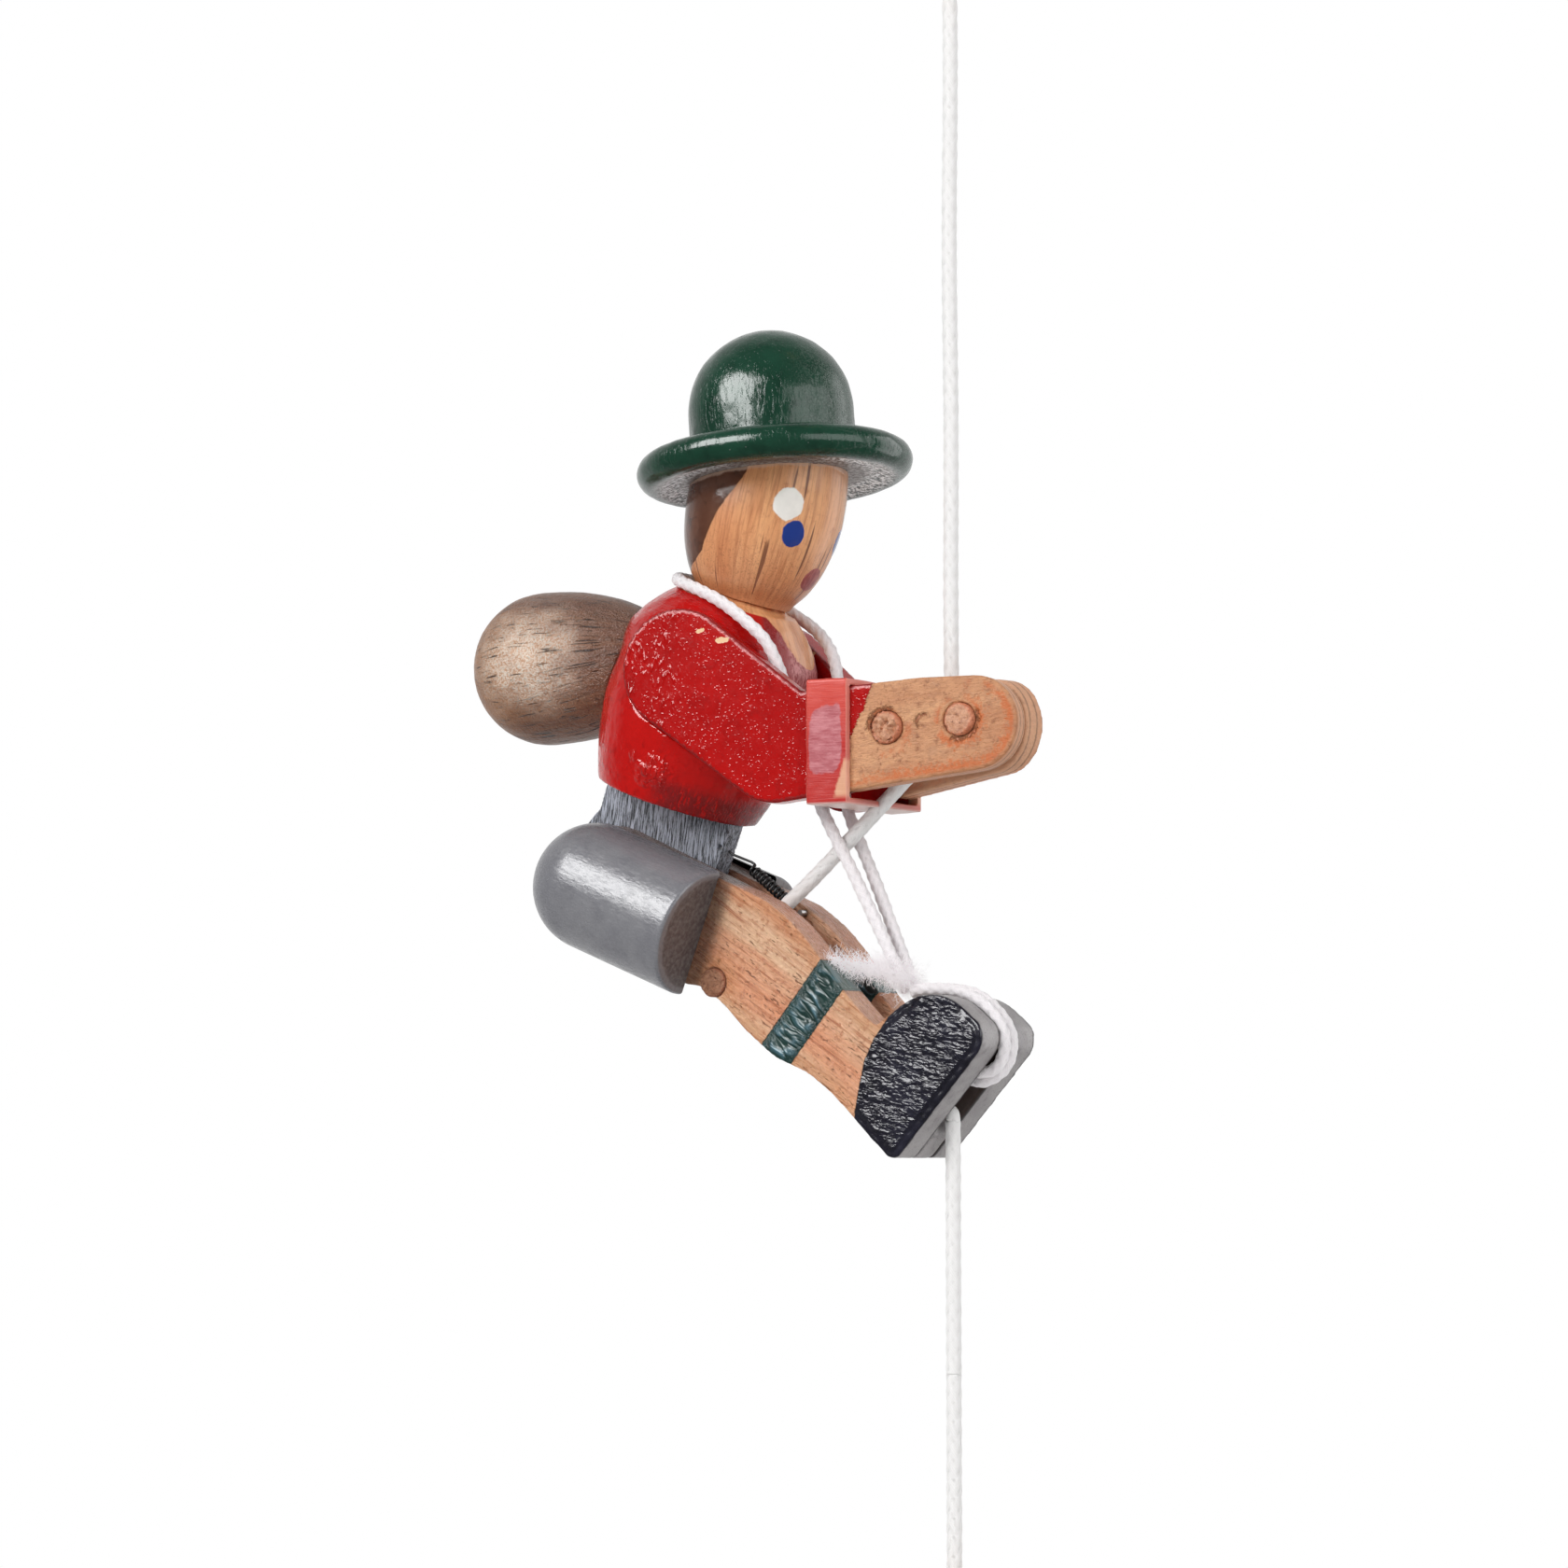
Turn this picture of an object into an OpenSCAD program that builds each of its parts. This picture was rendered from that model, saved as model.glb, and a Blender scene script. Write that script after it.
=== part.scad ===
// Climbing figure toy: a jointed wooden climber on a pull cord.
// Millimetres. Z is up, X is the way the figure faces, Y is towards its left hand.
// The origin is the centre of the hook hole in the hang tab. The cord hangs down X = 0, Y = 0.
// Places on the figure are [x, z] pairs, where z is counted from the height of the hand dowels.

/* [Cord] */
// Distance from the hook hole down to the hand dowels
grip_drop = 140; // [120:1:240]
// Distance from the hook hole down to the centre of the pull bead
bead_drop = 284; // [284:1:500]
// How far the cord hangs behind the middle of the two hand dowels' grid
cord_back = 0.75; // [0:0.05:1]
// Radius of the climbing cord
cord_r = 1.25; // [0.8:0.05:1.3]
// Radius of the thinner tie cord
tie_r = 0.9; // [0.6:0.05:0.9]
// Radius of the knot that joins the tie cord's ends
tie_knot_r = 2; // [1.6:0.1:2]
// Radius of the stopper knots
knot_r = 2.6; // [2.2:0.1:3]

/* [Hang tab and pull bead] */
// Radius of the hook hole
hook_r = 4; // [3:0.1:5]
// Outer radius of the tab round the hook hole
tab_r = 9; // [8:0.5:14]
// Thickness of the tab
tab_t = 8; // [7:0.5:12]
// Radius of the pull bead
bead_r = 8; // [6:0.5:12]

/* [Hat and head] */
// Radius of the hat's brim
brim_r = 23; // [20:0.5:28]
// Thickness of the brim
brim_t = 4.6; // [3:0.2:6]
// Radius of the hat's crown
crown_r = 13.8; // [12:0.2:16]
// Height of the crown above the brim
crown_h = 20.4; // [17:0.2:26]
// Backward tilt of the hat, in degrees
hat_tilt = 5; // [0:0.2:12]
// Sideways tilt of the hat, right side up, in degrees
hat_roll = 0.4; // [0:0.2:6]
// Largest radius of the head
head_r = 13.1; // [12:0.1:14]
// Length of the turned head before the hat cuts it
head_len = 25; // [23:0.5:28]
// Forward lean of the head, in degrees
head_lean = 16; // [8:1:22]
// Radius of the dowels glued inside the figure
dowel_r = 2; // [1.5:0.1:2.5]

/* [Torso] */
// Largest radius of the torso
torso_r = 16.8; // [15.6:0.2:18]
// Radius at the bottom of the torso
waist_r = 13.8; // [12:0.2:15]
// Length of the torso up to the chin
torso_len = 36; // [32:0.5:40]
// Forward lean of the torso, in degrees
torso_lean = 21; // [15:1:26]
// Radius of the backpack's round end
pack_r = 13.1; // [10:0.1:15]

/* [Arms] */
// Thickness of each arm board
arm_t = 4; // [3:0.2:4.6]
// Half the distance over both boards, at the finger tips
tip_half = 4.9; // [4.6:0.1:6.5]
// Angle that each arm spreads towards its shoulder, in degrees
arm_splay = 12; // [10:0.5:14]
// Radius of the rounded shoulder
shoulder_r = 9.9; // [8:0.1:11]
// Radius of the hand dowels
hand_peg_r = 2.65; // [2:0.05:2.8]
// How far the hand dowels stand out of the boards
peg_proud = 0.6; // [0.2:0.1:1.5]
// Width of the rubber band round the wrists
band_w = 7; // [4:0.5:9]
// Thickness of the rubber band
band_t = 1.1; // [0.6:0.1:1.6]

/* [Legs] */
// Thickness of each leg board
leg_t = 5.9; // [4.5:0.1:7]
// Width of the slot between the leg boards
slot_w = 4.4; // [4.2:0.1:5.5]
// Thickness of the hip tongue that runs in the slot
tongue_t = 3.9; // [3:0.1:4]
// Radius of the turned half-round shorts
shorts_r = 10.8; // [10:0.1:12]
// Length of the shorts from the centre of the round end
shorts_len = 23; // [20:0.5:26]
// Angle of the thighs below the horizontal, in degrees
thigh_drop = 21.5; // [18:0.5:25]
// Radius of the hip pin
hip_pin_r = 2; // [1.5:0.1:2.5]
// Radius of the dowel across the thighs
thigh_peg_r = 2.4; // [1.8:0.1:2.6]
// Radius of the dowel across the boots
boot_peg_r = 1.9; // [1.5:0.1:2.1]
// Radius of the hip spring's coil, to the wire's centre
coil_r = 0.8; // [0.6:0.05:0.85]
// Radius of the spring wire
wire_r = 0.2; // [0.15:0.01:0.22]

/* [Fits] */
// Running clearance of a pin in its hole, on the radius
running_gap = 0.06; // [0.02:0.01:0.1]
// Glue line between fixed pieces
glue_gap = 0.03; // [0.02:0.01:0.08]
// Gap between the two turns of tie cord round the toes
wrap_gap = 0.42; // [0.41:0.01:0.6]
// Clearance of soft pieces from their neighbours
soft_gap = 0.3; // [0.1:0.05:0.4]

/* [Hidden] */
$fn = 48;

// Places on the figure
grip_at = [-7.8, -1.1];
guard_at = [4.4, -0.3];
shoulder_at = [-44.8, 10];
elbow_at = [-27.6, -3.4];
elbow_r = 9.2;
elbow_in = [-22.8, 5.3];
wrist_in = [-2.4, 6.7];
tip_at = [6.6, -0.9];
tip_r = 7.6;
band_x = -17.2;
hip_at = [-61, -24.5];
waist_at = [-55.4, -10];
thigh_at = [-42, -41.1];
boot_peg_at = [1.2, -47.3];
shorts_at = [-66, -24.6];
pack_at = [-82.7, 14];
pack_front = [-58, 16];
hat_at = [-35.3, 42.6];
spring_top = [-45.4, -18.4];
spring_low = [-31, -29.6];

// Worked out
spring_pin_r = 0.5;
spring_pin_half = 1.6;
tongue_pin_half = 1;
pin_skin = 1;
inner_dowel = 14;
pack_dowel = 20;
through = 30;
torso_top = waist_at + torso_len * [sin(torso_lean), cos(torso_lean)];
half_legs = slot_w / 2 + leg_t;
head_at = torso_top + [1, 0];
leg_end_r = shorts_r - 0.2;
tab_knot_z = -tab_r - 5.4;
tab_foot_z = tab_knot_z - knot_r - 3;
bead_knot_z = -bead_drop - bead_r - knot_r - glue_gap;

// Routes of the cords, chosen by hand
HAND_BEND = [[-0.75, 0, 6], [-0.9, 0, 2.6], [-2.2, 0, -0.9], [-4.9, 0, -4.5], [-10.5, 0, -9.6]];
THIGH_BEND = [
    [-26, -0.4, -23], [-32.5, -0.9, -28.4], [-39, -0.9, -34], [-44.3, -0.6, -38.4],
    [-45.6, -0.3, -40.6], [-45.2, 0, -43], [-43.2, 0, -44.6]
];
SOLE_RUN = [
    [-36, 0, -47.7], [-18, 0, -55.4], [-4, 0, -61.3], [-1.4, 0, -62.3], [-0.75, 0, -63.2], [-0.75, 0, -63.8]
];
// Round the neck: share of the torso's length, forward of its axis, and y
NECK_ROUTE = [
    [0.744, 17.03, -7.6], [0.851, 13.09, -9.1], [0.923, 8.45, -10.8], [0.977, 3.43, -11.8], [1.001, -0.98, -12],
    [1.004, -5.73, -10.4], [0.991, -9.2, -6], [0.984, -10.39, 0],
    [0.991, -9.2, 6], [1.004, -5.73, 10.4], [1.001, -0.98, 12], [0.986, 3.73, 11.8], [0.936, 9.13, 10.8],
    [0.862, 13.9, 9.3], [0.756, 17.61, 7.7]
];
// From the ends of the neck loop down to the knot
NEAR_TIE = [[-27.4, -5.6, 2], [-25.6, -3.8, -6], [-24, -2.9, -13], [-18, -2, -24.6], [-10.2, -1.1, -40]];
FAR_TIE = [[-26.8, 5.6, 2], [-24.4, 3.8, -6], [-22.8, 2.9, -13], [-17, 2, -24.6], [-10, 1.3, -39.6]];
TOE_LOOP = [
    [-7.6, -43.2], [-2.6, -42.8], [2.6, -43.6], [7, -46.4], [9.7, -50.6], [8.6, -55.2],
    [4.2, -57.6], [-0.6, -55.8], [-3.2, -51.4], [-6, -47]
];
wrap_step = 2.4;
wrap_rings = 24;
wrap_tuck = 3;
knot_at = [-9.4, -41.8];

// Points and tubes
function arc(c, r, from, to, n = 16) =
    [for (i = [0:n]) let (a = from + (to - from) * i / n) c + r * [cos(a), sin(a)]];

function curve(p, t) =
    let (n = len(p) - 1, i = min(floor(t), n - 1), u = t - i,
         a = p[max(i - 1, 0)], b = p[i], c = p[i + 1], d = p[min(i + 2, n)])
    0.5 * (2 * b + (c - a) * u + (2 * a - 5 * b + 4 * c - d) * u * u + (3 * b - a - 3 * c + d) * u * u * u);

function smooth(p, steps) = [for (i = [0:(len(p) - 1) * steps]) curve(p, i / steps)];

function ring_curve(p, t) =
    let (n = len(p), i = floor(t), u = t - i,
         a = p[(i + n - 1) % n], b = p[i % n], c = p[(i + 1) % n], d = p[(i + 2) % n])
    0.5 * (2 * b + (c - a) * u + (2 * a - 5 * b + 4 * c - d) * u * u + (3 * b - a - 3 * c + d) * u * u * u);

function unit(v) = v / norm(v);

function ease(t) = let (u = min(max(t, 0), 1)) u * u * (3 - 2 * u);

function drop(p) = [for (q = p) [q.x + cord_back, q.y, q.z - grip_drop]];

function least_gap(p, r, apart) =
    min([for (i = [0:len(p) - 1]) for (j = [i + 1:1:len(p) - 1])
        if (j - i > apart) norm(p[i] - p[j]) - 2 * r]);

module tube(p, r, sides, up = [0, 1, 0]) {
    last = len(p) - 1;
    rings = [for (i = [0:last])
        let (t = unit(p[min(i + 1, last)] - p[max(i - 1, 0)]),
             s = unit(cross(t, up)), w = cross(s, t))
        for (k = [0:sides - 1]) let (a = 360 * k / sides) p[i] + r * (cos(a) * s + sin(a) * w)];
    skin = [for (i = [0:last - 1]) for (k = [0:sides - 1])
        let (a = i * sides + k, b = i * sides + (k + 1) % sides)
        each [[a, b, b + sides], [a, b + sides, a + sides]]];
    low = [for (k = [1:sides - 2]) [0, k + 1, k]];
    high = [for (k = [1:sides - 2]) [last * sides, last * sides + k, last * sides + k + 1]];
    polyhedron(concat(rings, [p[0], p[last]]), concat(skin, low, high));
}

module slab(low, high) {
    translate([cord_back, high, -grip_drop]) rotate([90, 0, 0]) linear_extrude(high - low) children();
}

module pin_along_y(at, r, half) {
    translate([at[0] + cord_back, half, at[1] - grip_drop]) rotate([90, 0, 0]) cylinder(r = r, h = 2 * half);
}

module place(at, lean) {
    translate([at[0] + cord_back, 0, at[1] - grip_drop]) rotate([0, lean, 0]) children();
}

module hat_place() {
    place(hat_at, -hat_tilt) rotate([-hat_roll, 0, 0]) children();
}

// Hang tab, bead and knots
module hang_tab() {
    color("burlywood") difference() {
        translate([0, tab_t / 2, 0]) rotate([90, 0, 0]) linear_extrude(tab_t)
            polygon(concat(arc([0, 0], tab_r, -30, 210, 40), arc([0, tab_foot_z + 5], 5, 200, 340, 20)));
        translate([0, tab_t, 0]) rotate([90, 0, 0]) cylinder(r = hook_r, h = 2 * tab_t);
        translate([0, tab_t, tab_knot_z]) rotate([90, 0, 0]) cylinder(r = knot_r + soft_gap, h = 2 * tab_t);
        translate([0, 0, tab_foot_z - 1]) cylinder(r = cord_r + soft_gap, h = tab_knot_z - tab_foot_z);
    }
}

module top_knot() {
    color("white") difference() {
        translate([0, 0, tab_knot_z]) sphere(r = knot_r);
        translate([0, 0, tab_knot_z - 2 * knot_r]) cylinder(r = cord_r + glue_gap, h = 2 * knot_r);
    }
}

module pull_bead() {
    color("burlywood") difference() {
        translate([0, 0, -bead_drop]) sphere(r = bead_r);
        translate([0, 0, -bead_drop - 2 * bead_r]) cylinder(r = cord_r + soft_gap, h = 4 * bead_r);
    }
}

module bottom_knot() {
    color("white") difference() {
        translate([0, 0, bead_knot_z]) sphere(r = knot_r);
        translate([0, 0, bead_knot_z]) cylinder(r = cord_r + glue_gap, h = 2 * knot_r);
    }
}

// Climbing cord
module upper_cord() {
    top = tab_knot_z - glue_gap;
    low = HAND_BEND[0].z - grip_drop + glue_gap;
    color("white") translate([0, 0, low]) cylinder(r = cord_r, h = top - low, $fn = 16);
}

module mid_cord() {
    route = concat(smooth(HAND_BEND, 2), smooth(THIGH_BEND, 2), SOLE_RUN);
    color("white") tube(drop(route), cord_r - 0.15, 8);
}

module lower_cord() {
    top = SOLE_RUN[len(SOLE_RUN) - 1].z - grip_drop - glue_gap;
    low = bead_knot_z + glue_gap;
    color("white") translate([0, 0, low]) cylinder(r = cord_r, h = top - low, $fn = 16);
}

// Hat and head
module hat() {
    rim = brim_t / 2;
    crown_base = crown_h - crown_r;
    color("darkgreen") hat_place() difference() {
        rotate_extrude($fn = 96) polygon(concat(
            [[0, 0]],
            arc([brim_r - rim, rim], rim, -90, 90, 14),
            [[crown_r + 1.6, brim_t]],
            arc([crown_r + 1.2, brim_t + 1.2], 1.2, 270, 180, 5),
            arc([0, brim_t + crown_base], crown_r, 0, 90, 18)
        ));
        translate([0, 0, -1]) cylinder(r = dowel_r + glue_gap, h = crown_base + 1);
    }
}

module hat_dowel() {
    color("tan") hat_place() translate([0, 0, -inner_dowel / 2])
        cylinder(r = dowel_r, h = inner_dowel / 2 + crown_h - crown_r - 1);
}

// Shares of the head's largest radius and of its length
HEAD = [[0.63, 0], [0.794, 0.12], [0.926, 0.3], [1, 0.54], [0.985, 0.76], [0.912, 1]];

module head() {
    side = smooth([for (p = HEAD) [p.x * head_r, p.y * head_len]], 4);
    color("burlywood") difference() {
        place(head_at, head_lean) rotate_extrude($fn = 72)
            polygon(concat([[0, -1.4], [7.6, -1.4]], side, [[0, head_len]]));
        place(torso_top, torso_lean) translate([-2 * head_r, -2 * head_r, glue_gap - head_r])
            cube([4 * head_r, 4 * head_r, head_r]);
        hat_place() translate([-2 * head_r, -2 * head_r, -glue_gap]) cube(4 * head_r);
        hat_place() translate([0, 0, -inner_dowel / 2 - glue_gap]) cylinder(r = dowel_r + glue_gap, h = inner_dowel);
        place(head_at, head_lean) translate([0, 0, -inner_dowel / 2])
            cylinder(r = dowel_r + glue_gap, h = inner_dowel + glue_gap);
    }
}

module neck_dowel() {
    color("tan") place(head_at, head_lean) translate([0, 0, -inner_dowel / 2]) cylinder(r = dowel_r, h = inner_dowel);
}

// Torso and backpack
module torso_turning(grow) {
    // Radius, and share of the torso's length
    side = smooth([
        [waist_r, 0], [waist_r + 1.6, 0.139], [torso_r, 0.361], [torso_r - 0.3, 0.556], [torso_r - 2, 0.736],
        [torso_r - 5, 0.861], [8.6, 0.95], [8, 1]
    ], 4);
    place(waist_at, torso_lean) rotate_extrude($fn = 72)
        polygon(concat([[0, -grow]], [for (p = side) [p.x + grow, p.y * torso_len]], [[0, torso_len]]));
}

module torso() {
    color("firebrick") difference() {
        torso_turning(0);
        arm_board(glue_gap, shoulder_r);
        mirror([0, 1, 0]) arm_board(glue_gap, shoulder_r);
        pin_along_y(shoulder_at, dowel_r + glue_gap, through);
        place(head_at, head_lean) translate([0, 0, -inner_dowel / 2 - glue_gap])
            cylinder(r = dowel_r + glue_gap, h = inner_dowel);
        place(pack_front, 90) translate([0, 0, -pack_dowel])
            cylinder(r = dowel_r + glue_gap, h = pack_dowel + glue_gap);
        slab(-tongue_t / 2 - glue_gap, tongue_t / 2 + glue_gap) tongue_outline(glue_gap);
    }
}

// Radius and length of the backpack's tapered side, in shares of its round end's radius
PACK = [[1, 0], [0.962, 0.611], [0.817, 1.221], [0.573, 1.756]];

module backpack() {
    color("peru") difference() {
        place(pack_at, 90) rotate_extrude($fn = 72) polygon(concat(
            arc([0, 0], pack_r, -90, 0, 16),
            smooth([for (p = PACK) [p.x, p.y] * pack_r], 4),
            [[0, PACK[len(PACK) - 1].y * pack_r]]
        ));
        torso_turning(glue_gap);
        place(pack_front, 90) translate([0, 0, -pack_dowel])
            cylinder(r = dowel_r + glue_gap, h = pack_dowel + glue_gap);
    }
}

module backpack_dowel() {
    color("tan") place(pack_front, 90) translate([0, 0, glue_gap - pack_dowel])
        cylinder(r = dowel_r, h = pack_dowel - glue_gap);
}

// Arms
module arm_outline(grow) {
    polygon(concat(
        arc(shoulder_at, shoulder_r + grow, 58, 232, 24),
        arc(elbow_at, elbow_r + grow, 232, 272, 10),
        arc(tip_at, tip_r + grow, -80, 88, 20),
        [wrist_in + [0, grow], elbow_in + [0, grow]]
    ));
}

module arm_board(grow, deep) {
    pivot = tip_at[0] + 3 + cord_back;
    translate([pivot, -tip_half, 0]) rotate([0, 0, arm_splay]) translate([-pivot, 0, 0])
        slab(grow == 0 ? 0 : -deep, arm_t + grow) arm_outline(grow);
}

module arm() {
    color("indianred") difference() {
        arm_board(0, 0);
        pin_along_y(grip_at, hand_peg_r + running_gap, through);
        pin_along_y(guard_at, hand_peg_r + glue_gap, through);
        pin_along_y(shoulder_at, dowel_r + glue_gap, shoulder_half + glue_gap);
    }
}

function arm_outside(x) = tip_half + (tip_at[0] + 3 - x) * tan(arm_splay);
shoulder_half = arm_outside(shoulder_at[0]) - pin_skin;

module right_arm() { arm(); }
module left_arm() { mirror([0, 1, 0]) arm(); }

module shoulder_dowel() {
    color("tan") pin_along_y(shoulder_at, dowel_r, shoulder_half);
}

module grip_peg() {
    color("tan") pin_along_y(grip_at, hand_peg_r, arm_outside(grip_at[0]) + peg_proud);
}

module guard_peg() {
    color("tan") pin_along_y(guard_at, hand_peg_r, arm_outside(guard_at[0]) + peg_proud);
}

module band_plan(side, reach) {
    front = band_x + band_w / 2 + reach;
    back = band_x - band_w / 2 - reach;
    polygon([
        [back, -arm_outside(back) - side], [front, -arm_outside(front) - side],
        [front, arm_outside(front) + side], [back, arm_outside(back) + side]
    ]);
}

module wrist_band() {
    high = wrist_in[1] - 0.7;
    low = elbow_at[1] - elbow_r + 0.5;
    color("salmon") translate([cord_back, 0, -grip_drop]) difference() {
        translate([0, 0, low - band_t]) linear_extrude(high - low + 2 * band_t) band_plan(glue_gap + band_t, 0);
        translate([0, 0, low]) linear_extrude(high - low) band_plan(glue_gap, 1);
        cord_channel(cord_r + glue_gap);
    }
}

// The straight run of the cord from the hands to the thighs
module cord_channel(r) {
    from = HAND_BEND[len(HAND_BEND) - 1];
    run = THIGH_BEND[0] - from;
    translate(from) rotate([0, 0, atan2(run.y, run.x)]) rotate([0, acos(run.z / norm(run)), 0])
        cylinder(r = r, h = norm(run));
}

// Hips
module tongue_outline(grow) {
    polygon(concat(
        [[-64.6 - grow, -2], [-69 - grow, -7], [-70.2 - grow, -10.6], [-75.4 - grow, -15.6]],
        arc(hip_at, 12.4 + grow, 190, 300, 14),
        [[-46.8 + grow, -24], [-43 + grow, -14.4], [-47 + grow, -2]]
    ));
}

module hip_tongue() {
    color("dimgray") difference() {
        slab(-tongue_t / 2, tongue_t / 2) tongue_outline(0);
        pin_along_y(hip_at, hip_pin_r + running_gap, through);
        pin_along_y(spring_top, spring_pin_r + glue_gap, through);
    }
}

module hip_pin() {
    color("silver") pin_along_y(hip_at, hip_pin_r, half_legs - pin_skin);
}

// Legs
module leg_outline() {
    polygon(concat(
        arc(shorts_at, leg_end_r, 90 - thigh_drop, 270 - thigh_drop, 18),
        [[-47.6, -41.2]],
        smooth([[-45, -41.6], [-40.7, -44.2], [-36.6, -48.2], [-32.6, -51.4], [-29.8, -53.4], [-26.3, -54.9],
            [-22.9, -56.4], [-18, -60]], 3),
        arc([-7.1, -67.9], 1.8, 228, 320, 6),
        arc([5.8, -50.8], 3.9, -42, 36, 8),
        arc([0, -53.4], 9.5, 52, 122, 10),
        [[-10.2, -48.6]],
        smooth([[-12.5, -47], [-16.3, -43.1], [-21.6, -36.9], [-26.2, -32], [-31.7, -28]], 3)
    ));
}

module leg_board() {
    color("burlywood") difference() {
        slab(-half_legs, -slot_w / 2) leg_outline();
        pin_along_y(hip_at, hip_pin_r + glue_gap, half_legs - pin_skin + glue_gap);
        pin_along_y(thigh_at, thigh_peg_r + glue_gap, through);
        pin_along_y(boot_peg_at, boot_peg_r + glue_gap, half_legs - pin_skin / 2);
    }
}

module right_leg() { leg_board(); }

module left_leg() {
    difference() {
        mirror([0, 1, 0]) leg_board();
        translate([0, slot_w / 2 + wire_r, 0])
            pin_along_y(spring_low, spring_pin_r + glue_gap, spring_pin_half + glue_gap);
    }
}

module shorts_half() {
    color("gray") intersection() {
        translate([0, -half_legs - glue_gap, 0]) place(shorts_at, 90 + thigh_drop)
            rotate_extrude($fn = 72) polygon(concat(
                arc([0, 0], shorts_r, -90, 0, 16),
                [[shorts_r, shorts_len - 0.6], [shorts_r - 0.6, shorts_len], [0, shorts_len]]
            ));
        translate([-120, -half_legs - glue_gap - 2 * shorts_r, -2 * grip_drop])
            cube([120, 2 * shorts_r, 2 * grip_drop]);
    }
}

module right_shorts() { shorts_half(); }
module left_shorts() { mirror([0, 1, 0]) shorts_half(); }

module thigh_peg() {
    color("tan") pin_along_y(thigh_at, thigh_peg_r, half_legs + peg_proud);
}

module boot_peg() {
    color("tan") pin_along_y(boot_peg_at, boot_peg_r, half_legs - pin_skin / 2 - glue_gap);
}

module heel_block() {
    under = cord_r + soft_gap;
    color("dimgray") slab(-slot_w / 2 + glue_gap, slot_w / 2 - glue_gap) polygon(concat(
        arc([-7.1, -67.9], 1.8, 228, 320, 6),
        [[-2.8, -65.9], [-3.6, -61.5 - under], [-15.6, -56.4 - under], [-15.6, -62.4]]
    ));
}

// Spring in the slot of the legs
SPRING_TURNS = 11;
SPRING_START = 6;
SPRING_END = 2.6;
SPRING_Y = 1.1;

module leg_spring() {
    along = unit(spring_low - spring_top);
    across = [-along[1], along[0]];
    pitch = (norm(spring_low - spring_top) - SPRING_START - SPRING_END) / SPRING_TURNS;
    coil = [for (i = [0:SPRING_TURNS * 8])
        let (a = 45 * i + 90, s = SPRING_START + pitch * i / 8, c = spring_top + along * s)
        [c[0] + across[0] * coil_r * sin(a), SPRING_Y + coil_r * cos(a), c[1] + across[1] * coil_r * sin(a)]];
    first = coil[0];
    last = coil[len(coil) - 1];
    lead = [along[0], 0, along[1]];
    hook = [spring_top[0], 0, spring_top[1]] + 0.9 * lead;
    route = concat([hook, hook + lead, first - lead], coil, [last + 0.7 * lead, last + 1.2 * lead]);
    echo(spring_least_gap = least_gap(coil, wire_r, 5));
    color("black") tube(drop(route), wire_r, 6, [0.1, 1, 0.05]);
}

module spring_pin() {
    color("silver") translate([0, slot_w / 2 + wire_r, 0]) pin_along_y(spring_low, spring_pin_r, spring_pin_half);
}

module tongue_pin() {
    color("silver") pin_along_y(spring_top, spring_pin_r, tongue_pin_half);
}

// Tie cord
function on_torso(q) = let (u = q[0] * torso_len) [
    waist_at[0] + u * sin(torso_lean) + q[1] * cos(torso_lean), q[2],
    waist_at[1] + u * cos(torso_lean) - q[1] * sin(torso_lean)
];
neck_points = [for (q = NECK_ROUTE) on_torso(q)];

module neck_loop() {
    color("whitesmoke") tube(drop(smooth(neck_points, 2)), tie_r, 8, [0.02, 0.05, 1]);
}

module tie(route, from, side) {
    start = from + [0.2, -0.1 * side, -0.4];
    color("whitesmoke") tube(drop(concat([start], route)), tie_r, 8);
}

module near_tie() { tie(NEAR_TIE, neck_points[0], -1); }
module far_tie() { tie(FAR_TIE, neck_points[len(neck_points) - 1], 1); }

module toe_wraps() {
    wide = 2 * tie_r + wrap_gap;
    route = [for (i = [0:2 * wrap_rings - wrap_tuck])
        let (t = i / wrap_rings, u = t * len(TOE_LOOP), q = ring_curve(TOE_LOOP, u),
             run = unit(ring_curve(TOE_LOOP, u + 0.1) - ring_curve(TOE_LOOP, u + 9.9)),
             inward = wrap_step * (ease((t - 0.5) / 0.15) - ease((t - 1) / 0.12)) * [run[1], -run[0]])
        [q[0] + inward[0], wide * (ease((t - 0.62) / 0.28) - 0.5), q[1] + inward[1]]];
    echo(toe_wraps_least_gap = least_gap(route, tie_r, 6));
    color("whitesmoke") tube(drop(route), tie_r, 6);
}

module tie_knot() {
    color("whitesmoke") place(knot_at, 0) sphere(r = tie_knot_r);
}

hang_tab();
top_knot();
upper_cord();
mid_cord();
lower_cord();
pull_bead();
bottom_knot();
hat();
hat_dowel();
head();
neck_dowel();
torso();
backpack();
backpack_dowel();
right_arm();
left_arm();
shoulder_dowel();
grip_peg();
guard_peg();
wrist_band();
hip_tongue();
hip_pin();
right_leg();
left_leg();
right_shorts();
left_shorts();
thigh_peg();
boot_peg();
heel_block();
leg_spring();
spring_pin();
tongue_pin();
neck_loop();
near_tie();
far_tie();
toe_wraps();
tie_knot();
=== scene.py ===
"""Looks of the climbing figure toy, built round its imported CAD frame.

Sizes are in millimetres until they reach Blender, which works in metres. Places on the figure are
(x, y, z), where z is counted from the height of the hand dowels, as in the part's own source.
"""

import logging
import math
import random
from collections.abc import Callable, Iterator, Sequence
from contextlib import contextmanager
from dataclasses import dataclass
from enum import Enum

import bpy
import numpy as np
from mathutils import Matrix, Vector, kdtree, noise


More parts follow.
